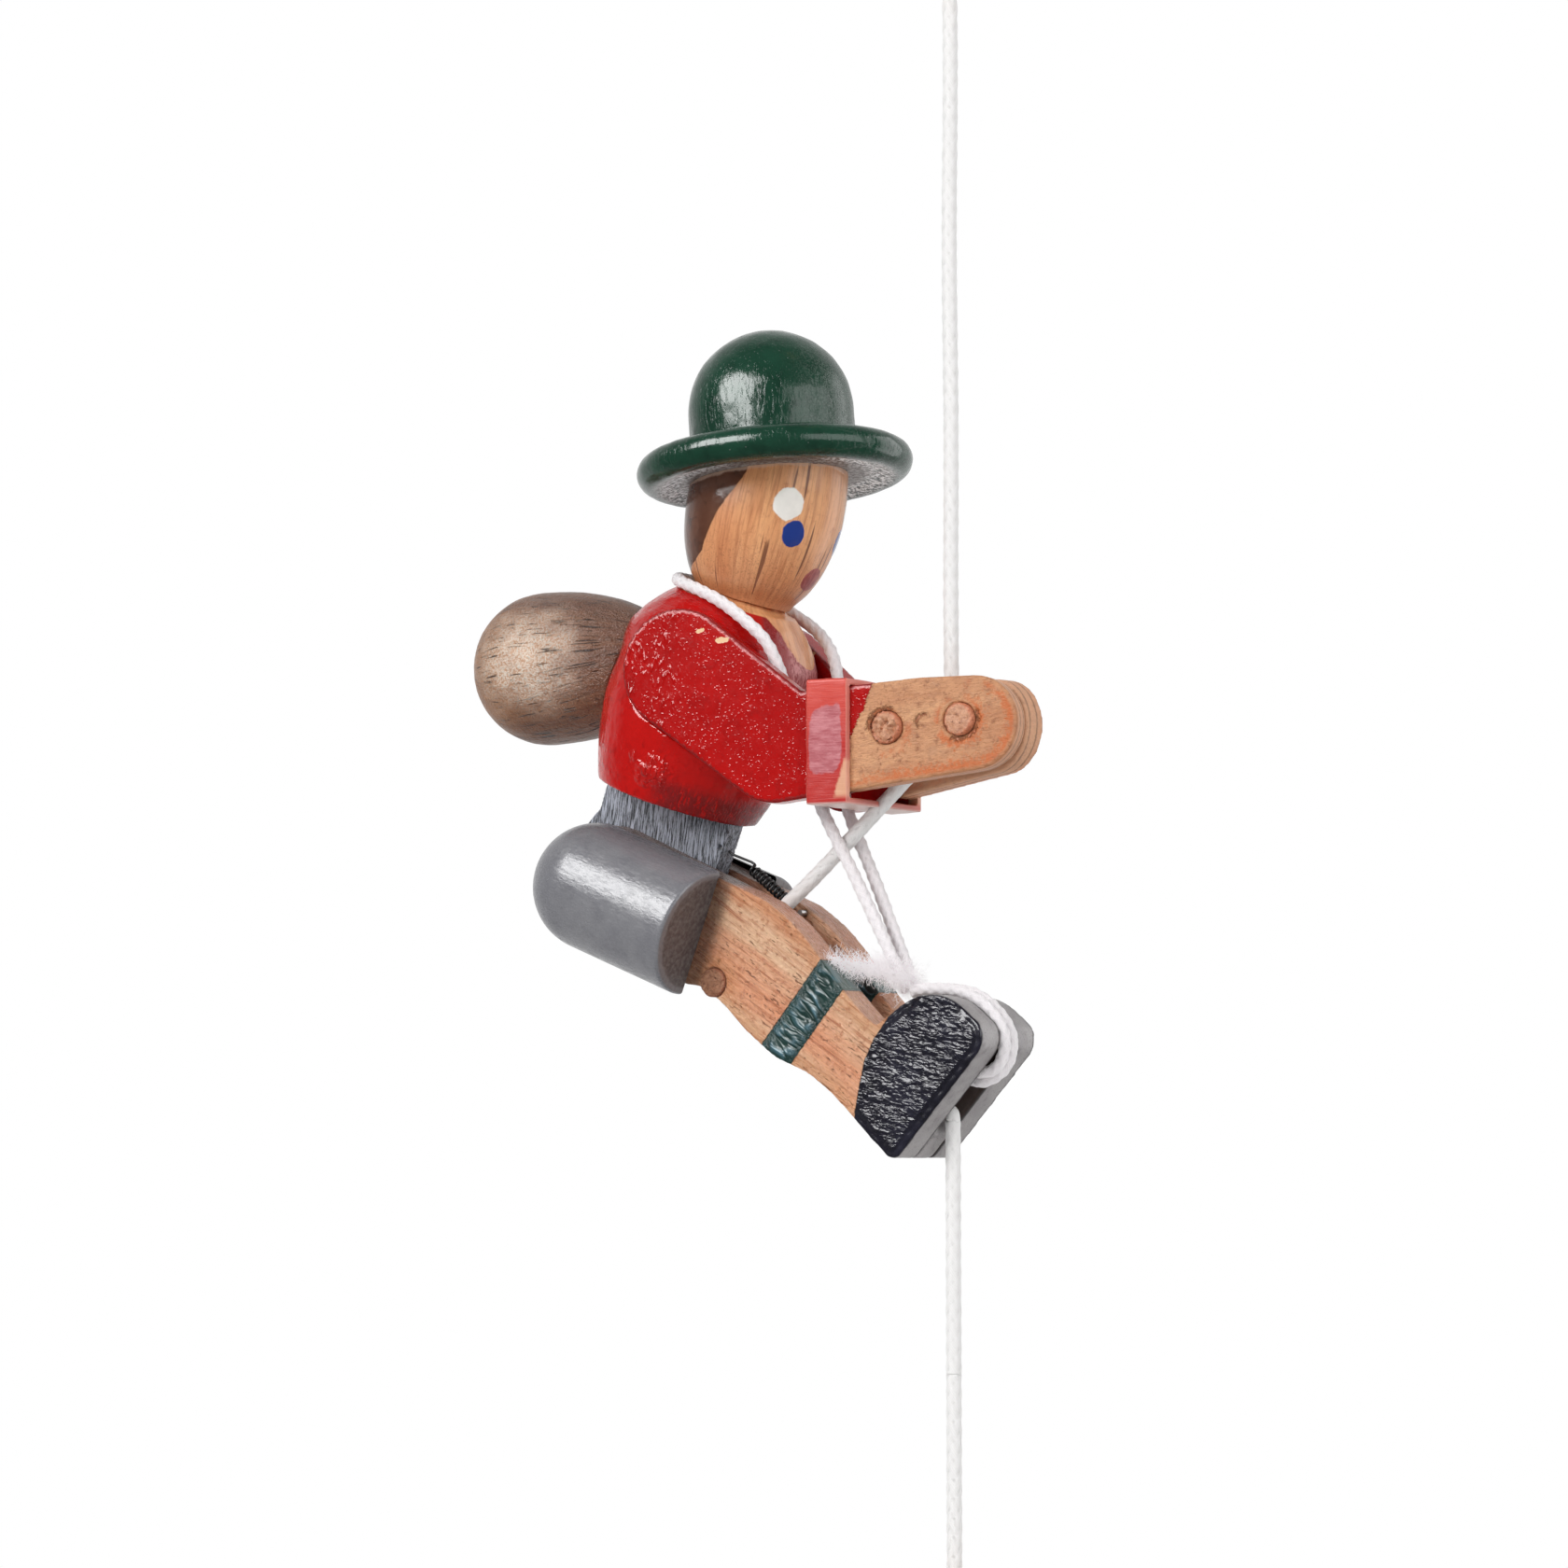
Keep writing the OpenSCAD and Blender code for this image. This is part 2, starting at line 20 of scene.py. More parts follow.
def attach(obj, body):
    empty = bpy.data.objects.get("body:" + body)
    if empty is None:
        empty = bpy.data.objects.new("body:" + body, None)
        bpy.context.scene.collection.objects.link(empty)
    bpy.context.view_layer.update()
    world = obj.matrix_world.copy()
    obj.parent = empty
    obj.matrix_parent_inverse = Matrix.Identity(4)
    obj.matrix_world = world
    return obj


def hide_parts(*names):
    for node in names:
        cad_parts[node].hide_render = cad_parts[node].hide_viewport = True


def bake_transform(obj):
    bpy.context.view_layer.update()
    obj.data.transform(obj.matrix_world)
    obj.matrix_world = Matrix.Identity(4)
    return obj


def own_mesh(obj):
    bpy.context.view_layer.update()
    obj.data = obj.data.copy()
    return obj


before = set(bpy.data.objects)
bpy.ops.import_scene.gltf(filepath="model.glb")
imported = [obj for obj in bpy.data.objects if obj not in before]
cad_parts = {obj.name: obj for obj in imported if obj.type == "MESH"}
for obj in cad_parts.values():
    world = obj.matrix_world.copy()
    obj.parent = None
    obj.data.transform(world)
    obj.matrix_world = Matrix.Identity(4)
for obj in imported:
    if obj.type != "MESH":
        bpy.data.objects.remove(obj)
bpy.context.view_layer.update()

log = logging.getLogger("climber")
MM = 0.001  # one mm in metres
CORD_BACK = 0.75  # the cord's line behind the figure's zero, in mm
GRIP_DROP = 140.0  # the hand dowels under the hook hole, in mm
RIM_REACH = 6.0  # up to where a board's distance from its rim is kept, in mm
SAME_PLACE = 1e-3  # points nearer than this are one point, in mm
SAME_CAD_PLACE = 2e-6  # the same for a CAD mesh, in metres
HEAD_ROLL_R = 11.0  # radius at which the grain of head and neck is rolled flat, in mm
Colour = tuple[float, float, float]
Pair = tuple[float, float]


class Body(Enum):
    """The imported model's moving bodies."""

    LINE = "line"
    GRIP = "grip"
    TORSO = "torso"
    LEGS = "legs"


class Side(Enum):
    """The figure's right side faces the camera, its left side is away from it."""

    RIGHT = -1
    LEFT = 1

    @property
    def word(self) -> str:
        """The side as the first word of a name."""
        return self.name.lower()


def srgb(red: int, green: int, blue: int) -> Colour:
    """A colour given in screen values of 0 to 255, as the linear colour that shaders take."""

    def linear(value: int) -> float:
        """One channel made linear."""
        share = value / 255
        return share / 12.92 if share <= 0.04045 else ((share + 0.055) / 1.055) ** 2.4

    return linear(red), linear(green), linear(blue)


def spot(x: float, y: float, z: float) -> Vector:
    """A place on the figure, in mm from the hook hole."""
    return Vector((x + CORD_BACK, y, z - GRIP_DROP))


def standing(x: float, z: float, lean: float, roll: float = 0.0) -> Matrix:
    """The frame of a piece that stands at a place on the figure.

    Args:
        x: forward place, in mm.
        z: height over the hand dowels, in mm.
        lean: forward lean, in degrees.
        roll: sideways turn, in degrees.

    Returns:
        Its matrix, in mm.
    """
    turn = Matrix.Rotation(math.radians(lean), 4, "Y") @ Matrix.Rotation(math.radians(roll), 4, "X")
    return Matrix.Translation(spot(x, 0, z)) @ turn


def lying(at: Pair) -> Matrix:
    """The frame of a dowel that lies across the figure at an x and z."""
    return Matrix.Translation(spot(at[0], 0, at[1])) @ Matrix.Rotation(math.radians(90), 4, "X")


FIGURE = Matrix.Translation(spot(0, 0, 0))


# Shader building


class Value:
    """A shader socket with arithmetic, so that masks read as plain sums."""

    def __init__(self, graph: "Graph", socket: bpy.types.NodeSocket) -> None:
        """Keeps the socket and the graph that it belongs to."""
        self.graph = graph
        self.socket = socket

    def _sum(self, operation: str, first: "Number", second: "Number") -> "Value":
        """One Math node on two numbers."""
        return self.graph.node("ShaderNodeMath", {"operation": operation}, {0: first, 1: second})

    def __add__(self, other: "Number") -> "Value":
        """Sum."""
        return self._sum("ADD", self, other)

    __radd__ = __add__

    def __sub__(self, other: "Number") -> "Value":
        """Difference."""
        return self._sum("SUBTRACT", self, other)

    def __rsub__(self, other: "Number") -> "Value":
        """Difference, from the left."""
        return self._sum("SUBTRACT", other, self)

    def __mul__(self, other: "Number") -> "Value":
        """Product."""
        return self._sum("MULTIPLY", self, other)

    __rmul__ = __mul__

    def __truediv__(self, other: "Number") -> "Value":
        """Quotient."""
        return self._sum("DIVIDE", self, other)

    def __abs__(self) -> "Value":
        """Size without sign."""
        return self._sum("ABSOLUTE", self, 0.0)

    def most(self, other: "Number") -> "Value":
        """The larger of two."""
        return self._sum("MAXIMUM", self, other)

    def power(self, other: "Number") -> "Value":
        """A power."""
        return self._sum("POWER", self, other)

    def sine(self) -> "Value":
        """The sine."""
        return self._sum("SINE", self, 0.0)

    def above(self, edge: "Number", soft: float) -> "Value":
        """A mask that is 1 well above an edge and 0 well under it."""
        return self.graph.ramped(self, edge - soft, edge + soft)

    def under(self, edge: "Number", soft: float) -> "Value":
        """A mask that is 1 well under an edge."""
        return 1.0 - self.above(edge, soft)


Number = Value | float


def distance(first: Value, *others: Value) -> Value:
    """The length of a vector, from its sides."""
    total = first * first
    for side in others:
        total = total + side * side
    return total.power(0.5)


@dataclass
class Skin:
    """What a surface shows at a point.

    Attributes:
        colour: base colour.
        rough: roughness.
        relief: height in mm.
        coat: share of clear coat.
    """

    colour: Value | Colour
    rough: Number = 0.5
    relief: Number = 0.0
    coat: Number = 0.0


class Graph:
    """A node tree that is filled node by node."""

    def __init__(self, tree: bpy.types.NodeTree) -> None:
        """Keeps the tree."""
        self.tree = tree

    def node(self, kind: str, settings: dict, inputs: dict, out: int | str = 0) -> Value:
        """Adds a node.

        Args:
            kind: Blender's node type.
            settings: its settings, or "stops" for a ramp's (place, grey or colour) pairs.
            inputs: values or links by socket name or number.
            out: which output is used.

        Returns:
            That output.
        """
        made = self.tree.nodes.new(kind)
        for name, setting in settings.items():
            if name == "stops":
                self._stops(made.color_ramp, setting)
            else:
                setattr(made, name, setting)
        for name, value in inputs.items():
            if isinstance(value, Value):
                self.tree.links.new(value.socket, made.inputs[name])
            else:
                made.inputs[name].default_value = value
        return Value(self, made.outputs[out])

    @staticmethod
    def _stops(band: bpy.types.ColorRamp, stops: Sequence[tuple[float, float | Colour]]) -> None:
        """Fills a colour ramp."""
        while len(band.elements) < len(stops):
            band.elements.new(1.0)
        for element, (place, shade) in zip(band.elements, stops):
            element.position = place
            element.color = (*shade, 1.0) if isinstance(shade, tuple) else (shade, shade, shade, 1.0)

    def parts(self, vector: Value) -> tuple[Value, Value, Value]:
        """A vector's x, y and z."""
        first = self.node("ShaderNodeSeparateXYZ", {}, {0: vector})
        node = first.socket.node
        return first, Value(self, node.outputs[1]), Value(self, node.outputs[2])

    def ramped(self, value: Value, low: Number, high: Number) -> Value:
        """0 under low, 1 over high, smooth between."""
        return self.node(
            "ShaderNodeMapRange",
            {"interpolation_type": "SMOOTHSTEP"},
            {"Value": value, "From Min": low, "From Max": high},
        )

    def ray(self, kind: str) -> Value:
        """1 for one kind of ray, such as "Is Camera Ray", and 0 for all others."""
        return self.node("ShaderNodeLightPath", {}, {}, kind)

    def faded(self, value: Value, start: float, end: float, low: float, high: float) -> Value:
        """A number that runs straight from low to high while the value runs from start to end."""
        inputs = {"Value": value, "From Min": start, "From Max": end, "To Min": low, "To Max": high}
        return self.node("ShaderNodeMapRange", {}, inputs)


class Shader(Graph):
    """One material and its node tree."""

    def __init__(self, name: str) -> None:
        """Makes an empty material with a Principled shader."""
        self.material = bpy.data.materials.new(name)
        self.material.use_nodes = True
        super().__init__(self.material.node_tree)
        self.bsdf = self.tree.nodes["Principled BSDF"]

    def local(self, at: Matrix) -> Value:
        """Object coordinates in mm, in a piece's own frame."""
        object_place = self.node("ShaderNodeTexCoord", {}, {}, 3)
        return self.node(
            "ShaderNodeMapping",
            {"vector_type": "TEXTURE"},
            {
                "Vector": object_place,
                "Location": tuple(at.translation * MM),
                "Rotation": tuple(at.to_euler()),
                "Scale": (MM, MM, MM),
            },
        )

    def attribute(self, name: str) -> Value:
        """A number that the mesh carries at each point."""
        return self.node("ShaderNodeAttribute", {"attribute_name": name}, {}, 2)

    def stretched(self, vector: Value, x: float, y: float, z: float) -> Value:
        """A vector scaled along its axes."""
        return self.node("ShaderNodeVectorMath", {"operation": "MULTIPLY"}, {0: vector, 1: (x, y, z)})

    def unrolled(self, vector: Value, radius: float) -> Value:
        """A turned piece's surface rolled flat, so that its grain runs on over every curve."""
        x, y, z = self.parts(vector)
        angle = self.node("ShaderNodeMath", {"operation": "ARCTAN2"}, {0: y, 1: x}) * radius
        return self.node("ShaderNodeCombineXYZ", {}, {0: angle, 1: 0.0, 2: z})

    def cloud(
        self, vector: Value, scale: float, detail: float = 2.0, rough: float = 0.5, bend: float = 0.0
    ) -> Value:
        """Noise between 0 and 1, with features about 1 / scale mm wide."""
        inputs = {"Vector": vector, "Scale": scale, "Detail": detail, "Roughness": rough, "Distortion": bend}
        return self.node("ShaderNodeTexNoise", {}, inputs)

    def grains(self, vector: Value, scale: float) -> Value:
        """Distance to the nearest of scattered points, for specks and pimples."""
        return self.node("ShaderNodeTexVoronoi", {}, {"Vector": vector, "Scale": scale})

    def curve(self, value: Value, low: float, high: float, points: Sequence[Pair], size: float) -> Value:
        """A number read from a curve of straight runs.

        Args:
            value: where to read.
            low: the value at the curve's left end.
            high: the value at its right end.
            points: (value, result) pairs, with results between -size and size.
            size: the largest result.

        Returns:
            The result.
        """
        share = (value - low) / (high - low)
        stops = [((at - low) / (high - low), (result / size + 1) / 2) for at, result in points]
        read = self.node("ShaderNodeValToRGB", {"stops": stops}, {0: share})
        return (read * 2.0 - 1.0) * size

    def mixed(self, mask: Number, first: Value | Colour, second: Value | Colour) -> Value:
        """Two colours mixed by a mask."""

        def colour(value: Value | Colour) -> Value | tuple[float, ...]:
            """A colour with its alpha."""
            return value if isinstance(value, Value) else (*value, 1.0)

        inputs = {0: mask, 6: colour(first), 7: colour(second)}
        return self.node("ShaderNodeMix", {"data_type": "RGBA"}, inputs, 2)

    def tint(self, skin: Skin, mask: Number, red: int, green: int, blue: int) -> None:
        """Mixes a colour, in screen values, into a skin where the mask is 1."""
        skin.colour = self.mixed(mask, skin.colour, srgb(red, green, blue))

    def over(self, mask: Value, low: Skin, top: Skin) -> Skin:
        """One skin laid over another where the mask is 1."""

        def number(first: Number, second: Number) -> Number:
            """Two numbers mixed by the mask."""
            if not isinstance(first, Value) and not isinstance(second, Value) and first == second:
                return first
            return mask * second + (1.0 - mask) * first

        return Skin(
            self.mixed(mask, low.colour, top.colour),
            number(low.rough, top.rough),
            number(low.relief, top.relief),
            number(low.coat, top.coat),
        )

    def dab(
        self, place: tuple[Value, Value, Value], at: Vector, wide: float, tall: float, wobble: Value
    ) -> Value:
        """A hand-painted oval on an upright turned surface.

        Args:
            place: the surface point's x, y and z.
            at: the oval's centre.
            wide: half its width.
            tall: half its height.
            wobble: noise that makes its edge uneven.

        Returns:
            Its mask.
        """
        x, y, z = place
        reach = math.hypot(at.x, at.y)
        out, aside = (at.x / reach, at.y / reach), (-at.y / reach, at.x / reach)
        across = (x * aside[0] + y * aside[1]) / wide
        up = (z - at.z) / tall
        size = distance(across, up) + (wobble - 0.5) * 0.36
        front = (x * out[0] + y * out[1]).above(reach * 0.4, 0.5)
        return size.under(1.0, 0.05) * front

    def done(self, skin: Skin, specular: float = 0.5, coat_rough: float = 0.08) -> bpy.types.Material:
        """Joins a skin to the shader and gives the material."""
        names = {"Base Color": skin.colour, "Roughness": skin.rough, "Coat Weight": skin.coat}
        for name, value in names.items():
            socket = self.bsdf.inputs[name]
            if isinstance(value, Value):
                self.tree.links.new(value.socket, socket)
            else:
                socket.default_value = (*value, 1.0) if isinstance(value, tuple) else value
        self.bsdf.inputs["Specular IOR Level"].default_value = specular
        self.bsdf.inputs["Coat Roughness"].default_value = coat_rough
        if isinstance(skin.relief, Value):
            bump = self.node("ShaderNodeBump", {}, {"Strength": 1.0, "Distance": MM, "Height": skin.relief})
            self.tree.links.new(bump.socket, self.bsdf.inputs["Normal"])
        return self.material


# Finishes


@dataclass(frozen=True)
class Wood:
    """Bare or clear-varnished wood, with its grain along the piece's own Z.

    Attributes:
        base, light, dark: its tones.
        fleck: colour of the rays and pores.
        fleck_wide, fleck_long: size of a fleck, in mm.
        fleck_from: noise level from which a fleck shows.
        rough: roughness.
        coat: share of varnish.
        grain: relief of the grain, in mm.
        streak: strength of the long grain lines.
        mottle: strength of the blotches.
        wave: how much the flecks waver.
    """

    base: Colour
    light: Colour
    dark: Colour
    fleck: Colour
    fleck_wide: float = 0.8
    fleck_long: float = 6.0
    fleck_from: float = 0.66
    rough: float = 0.5
    coat: float = 0.0
    grain: float = 0.03
    streak: float = 0.6
    mottle: float = 0.3
    wave: float = 0.0

    def skin(self, shader: Shader, place: Value, turned_r: float = 0.0) -> Skin:
        """The wood's skin at a local place, with its grain rolled round a turned piece if it has a radius."""
        if turned_r:
            place = shader.unrolled(place, turned_r)
        broad = shader.cloud(shader.stretched(place, 1, 1, 0.12), 0.16, 3.0, 0.55)
        mottle = shader.cloud(place, 0.9, 4.0, 0.7)
        fibre = shader.cloud(shader.stretched(place, 1, 1, 0.08), 5.0, 3.0, 0.65)
        lines = shader.cloud(shader.stretched(place, 1, 1, 0.05), 1.7, 3.0, 0.6, 0.25)
        tone = shader.mixed(shader.ramped(broad, 0.3, 0.72), self.light, self.base)
        for marks, low, high, strength in (
            (lines, 0.45, 0.72, self.streak), (fibre, 0.46, 0.76, 0.5), (mottle, 0.5, 0.8, self.mottle),
        ):
            tone = shader.mixed(shader.ramped(marks, low, high) * strength, tone, self.dark)
        across = 1 / self.fleck_wide
        stretch = shader.stretched(place, across, across, 1 / self.fleck_long)
        dashes = shader.cloud(stretch, 1.0, 1.0, 0.4, self.wave)
        fleck = shader.ramped(dashes, self.fleck_from, self.fleck_from + 0.05)
        colour = shader.mixed(fleck * 0.8, tone, self.fleck)
        relief = fibre * self.grain + mottle * (self.grain * 1.4) - fleck * (self.grain * 1.6)
        return Skin(colour, fibre * 0.2 + (self.rough - 0.1), relief, self.coat)


@dataclass(frozen=True)
class Paint:
    """Brushed or dipped gloss paint over wood.

    Attributes:
        base, light, dark: its tones.
        rough: roughness.
        peel: height of its fine waves, in mm.
        peel_size: their size, in mm.
        lump: height of its broad lumps, in mm.
        lump_size: their size, in mm.
        speck: share of dust specks.
    """

    base: Colour
    light: Colour
    dark: Colour
    rough: float = 0.2
    peel: float = 0.03
    peel_size: float = 0.7
    lump: float = 0.05
    lump_size: float = 2.6
    speck: float = 0.0

    def skin(self, shader: Shader, place: Value) -> Skin:
        """The paint's skin at a local place."""
        broad = shader.cloud(place, 0.12, 3.0, 0.6)
        waves = shader.cloud(place, 1 / self.peel_size, 2.0, 0.55, 0.3)
        lumps = shader.cloud(place, 1 / self.lump_size, 2.0, 0.5, 0.6)
        tone = shader.mixed(shader.ramped(broad, 0.35, 0.7), self.base, self.light)
        tone = shader.mixed(shader.ramped(lumps, 0.5, 0.75) * 0.6, tone, self.dark)
        relief = waves * self.peel + lumps * self.lump
        if self.speck:
            dust = shader.grains(place, 0.9).under(0.09 * self.speck, 0.05)
            relief = relief + dust * 0.09
            tone = shader.mixed(dust * 0.35, tone, (0.4, 0.4, 0.38))
        return Skin(tone, waves * 0.1 + (self.rough - 0.05), relief)


HEAD_BEECH = Wood(srgb(212, 140, 90), srgb(236, 176, 124), srgb(162, 92, 54), srgb(92, 44, 26),
                  0.95, 17.0, 0.668, 0.38, 0.25, 0.04, 0.55, 0.5)
HAND_BEECH = Wood(srgb(192, 130, 88), srgb(214, 158, 114), srgb(146, 88, 54), srgb(166, 108, 70),
                  0.5, 1.4, 0.8, 0.5, 0.0, 0.2, 0.4, 1.2, 1.0)
LEG_BEECH = Wood(srgb(250, 171, 129), srgb(255, 210, 171), srgb(192, 112, 75), srgb(150, 86, 56),
                 0.4, 1.9, 0.67, 0.27, 0.0, 0.62, 0.9, 1.0, 1.0)
PEG_BEECH = Wood(srgb(198, 138, 102), srgb(216, 160, 124), srgb(156, 98, 70), srgb(118, 70, 50),
                 0.5, 1.2, 0.68, 0.5, 0.0, 0.1, 0.5, 0.5)
PLAIN_BEECH = Wood(srgb(214, 160, 112), srgb(228, 180, 136), srgb(182, 126, 84), srgb(128, 82, 54),
                   0.7, 5.0, 0.67, 0.5, 0.0, 0.03)
PACK_WOOD = Wood(srgb(114, 74, 54), srgb(140, 98, 72), srgb(72, 48, 38), srgb(32, 22, 18),
                 0.55, 6.5, 0.665, 0.36, 0.0, 0.14, 0.5, 0.7, 0.25)
HAT_GREEN = Paint(srgb(20, 56, 41), srgb(25, 64, 48), srgb(14, 45, 33), 0.15, 0.006, 0.9, 0.045, 3.2, 0.6)
JACKET_RED = Paint(srgb(182, 14, 12), srgb(190, 18, 15), srgb(150, 10, 10), 0.13, 0.004, 0.8, 0.05, 2.0)
SLEEVE_RED = Paint(srgb(166, 9, 9), srgb(176, 13, 12), srgb(146, 8, 8), 0.14, 0.003, 0.8, 0.02, 2.4)
SHORTS_GREY = Paint(srgb(118, 118, 123), srgb(126, 126, 130), srgb(110, 110, 115),
                    0.19, 0.01, 0.4, 0.012, 3.0, 0.3)
TONGUE_GREY = Paint(srgb(82, 86, 96), srgb(106, 110, 120), srgb(52, 54, 62), 0.42, 0.02, 0.5, 0.02, 2.0)
SOLE_GREY = Paint(srgb(144, 140, 141), srgb(160, 156, 156), srgb(118, 113, 114), 0.45, 0.05, 0.4, 0.03, 2.0)
BOOT_BLACK = Paint(srgb(24, 23, 33), srgb(34, 33, 47), srgb(14, 13, 20), 0.24, 0.04, 0.4, 0.05, 1.6)
SOCK_GREEN = Paint(srgb(14, 48, 44), srgb(20, 58, 54), srgb(9, 34, 30), 0.28, 0.03, 0.5, 0.05, 1.8)
HAIR_BROWN = Paint(srgb(86, 52, 38), srgb(104, 68, 52), srgb(60, 38, 30), 0.2, 0.02, 0.8, 0.06, 2.4)


@dataclass(frozen=True)
class CordFinish:
    """Braided cotton cord, with painted shade in the furrows of its braid and a little along its yarns."""

    top: Colour
    furrow_shade: Colour
    yarns: float = 5.0

    def material(self, name: str) -> bpy.types.Material:
        """The cord's material."""
        shader = Shader(name)
        crest, yarn = shader.attribute("crest"), shader.attribute("yarn")
        place = shader.local(Matrix.Identity(4))
        fuzz = shader.cloud(place, 5.0, 3.0, 0.6)
        lines = (yarn * (2 * math.pi * self.yarns)).sine()
        # painted shade: darker towards the braid's furrows, and a little along the lines of the yarns
        colour = shader.mixed(shader.ramped(crest + (fuzz - 0.5) * 0.4, -0.25, 0.5), self.furrow_shade, self.top)
        colour = shader.mixed(shader.ramped(lines, 0.2, 1.0) * 0.12, colour, self.furrow_shade)
        shader.bsdf.inputs["Sheen Weight"].default_value = 0.3
        return shader.done(Skin(colour, 0.85, lines * 0.012 + fuzz * 0.03), 0.25)


@dataclass(frozen=True)
class Metal:
    """Plain or blackened steel."""

    base: Colour
    rough: float
    metallic: float = 1.0

    def material(self, name: str) -> bpy.types.Material:
        """The metal's material."""
        shader = Shader(name)
        place = shader.local(Matrix.Identity(4))
        grain = shader.cloud(shader.stretched(place, 1, 0.2, 1), 6.0, 2.0)
        shader.bsdf.inputs["Metallic"].default_value = self.metallic
        colour = shader.mixed(grain * 0.35, self.base, tuple(c * 0.6 for c in self.base))
        return shader.done(Skin(colour, grain * 0.15 + self.rough, grain * 0.004))


def wood_material(name: str, wood: Wood, at: Matrix) -> bpy.types.Material:
    """A material of bare wood with its grain along the frame's Z."""
    shader = Shader(name)
    return shader.done(wood.skin(shader, shader.local(at)))


# Modelling


def linked(name: str, data: bpy.types.ID) -> bpy.types.Object:
    """A new object in the scene, at the origin."""
    made = bpy.data.objects.new(name, data)
    bpy.context.scene.collection.objects.link(made)
    return made


def lone(piece: bpy.types.Object) -> None:
    """Selects one object and nothing else."""
    bpy.ops.object.select_all(action="DESELECT")
    piece.select_set(True)
    bpy.context.view_layer.objects.active = piece


@contextmanager
def editing(piece: bpy.types.Object) -> Iterator[None]:
    """Edit mode on one piece, with all of it selected."""
    lone(piece)
    bpy.ops.object.mode_set(mode="EDIT")
    bpy.ops.mesh.select_all(action="SELECT")
    yield
    bpy.ops.object.mode_set(mode="OBJECT")


def applied(piece: bpy.types.Object, kind: str, **settings: object) -> None:
    """Adds a modifier, sets it and applies it."""
    lone(piece)
    modifier = piece.modifiers.new(kind.title(), kind)
    for name, value in settings.items():
        setattr(modifier, name, value)
    bpy.ops.object.modifier_apply(modifier=modifier.name)


def smooth(piece: bpy.types.Object, angle: float | None = None) -> None:
    """Smooth shading, with edges sharper than an angle in degrees kept."""
    lone(piece)
    if angle is None:
        bpy.ops.object.shade_smooth()
    else:
        bpy.ops.object.shade_smooth_by_angle(angle=math.radians(angle))


def from_node(name: str, node: str) -> bpy.types.Object:
    """A merged copy of a CAD node's mesh, as a new object at the origin."""
    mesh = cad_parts[node].data.copy()
    mesh.materials.clear()
    piece = linked(name, mesh)
    with editing(piece):
        bpy.ops.mesh.remove_doubles(threshold=SAME_CAD_PLACE)
    return piece


def carved(name: str, node: str, voxel: float, rounds: int) -> bpy.types.Object:
    """A finely meshed copy of a CAD node with softened edges, ready for relief.

    Args:
        name: the piece's name.
        node: the CAD node.
        voxel: mesh size, in mm.
        rounds: smoothing passes, which round the edges.

    Returns:
        The piece.
    """
    piece = from_node(name, node)
    applied(piece, "REMESH", mode="VOXEL", voxel_size=voxel * MM, use_smooth_shade=True)
    applied(piece, "SMOOTH", factor=0.5, iterations=rounds)
    return piece


def stepped(profile: Sequence[Pair], step: float) -> list[Pair]:
    """A (radius, height) profile with its long runs cut into steps."""
    result = [profile[0]]
    for start, end in zip(profile, profile[1:]):
        count = max(1, round(math.dist(start, end) / step))
        for i in range(1, count + 1):
            share = i / count
            result.append((start[0] + (end[0] - start[0]) * share, start[1] + (end[1] - start[1]) * share))
    return result


def bow(centre: Pair, radius: float, start: float, end: float, count: int) -> list[Pair]:
    """Points on an arc, from one angle to another in degrees."""
    angles = (math.radians(start + (end - start) * i / count) for i in range(count + 1))
    return [(centre[0] + radius * math.cos(a), centre[1] + radius * math.sin(a)) for a in angles]


def turned(name: str, profile: Sequence[Pair], sides: int, at: Matrix) -> bpy.types.Object:
    """A lathe-turned piece: a profile drawn point by point and spun round its Z.

    Args:
        name: the piece's name.
        profile: (radius, height) points in mm, from axis to axis.
        sides: how many steps the spin has.
        at: the piece's frame, in mm.

    Returns:
        The piece, with its place in its mesh.
    """
    bpy.ops.object.select_all(action="DESELECT")
    bpy.ops.mesh.primitive_plane_add(size=1.0)
    piece = bpy.context.object
    piece.name = name
    with editing(piece):
        bpy.ops.mesh.merge(type="CENTER")
        bpy.ops.transform.translate(value=(profile[0][0], 0, profile[0][1]))
        for start, end in zip(profile, profile[1:]):
            move = {"value": (end[0] - start[0], 0, end[1] - start[1])}
            bpy.ops.mesh.extrude_region_move(TRANSFORM_OT_translate=move)
        bpy.ops.mesh.select_all(action="SELECT")
        bpy.ops.mesh.spin(steps=sides, angle=2 * math.pi, center=(0, 0, 0), axis=(0, 0, 1))
        bpy.ops.mesh.select_all(action="SELECT")
        bpy.ops.mesh.remove_doubles(threshold=SAME_PLACE)
        bpy.ops.mesh.normals_make_consistent(inside=False)
    piece.data.transform(Matrix.Scale(MM, 4) @ at)
    smooth(piece)
    return piece


def halved(piece: bpy.types.Object, point: Vector, normal: Vector) -> None:
    """Cuts a piece at a plane, keeps the part behind its normal and closes the cut."""
    with editing(piece):
        bpy.ops.mesh.bisect(plane_co=point * MM, plane_no=normal, use_fill=True, clear_outer=True)


def points_of(piece: bpy.types.Object) -> tuple[np.ndarray, np.ndarray]:
    """A mesh's points in mm and its point normals."""
    mesh = piece.data
    places = np.empty(len(mesh.vertices) * 3, np.float32)
    normals = np.empty(len(mesh.vertices) * 3, np.float32)
    mesh.vertices.foreach_get("co", places)
    mesh.vertex_normals.foreach_get("vector", normals)
    return places.reshape(-1, 3) / MM, normals.reshape(-1, 3)


def raised(piece: bpy.types.Object, height: Callable[[np.ndarray, np.ndarray], np.ndarray]) -> None:
    """Moves each point along its normal by a height in mm."""
    places, normals = points_of(piece)
    places = places + normals * height(places, normals)[:, None]
    piece.data.vertices.foreach_set("co", (places * MM).astype(np.float32).ravel())
    piece.data.update()


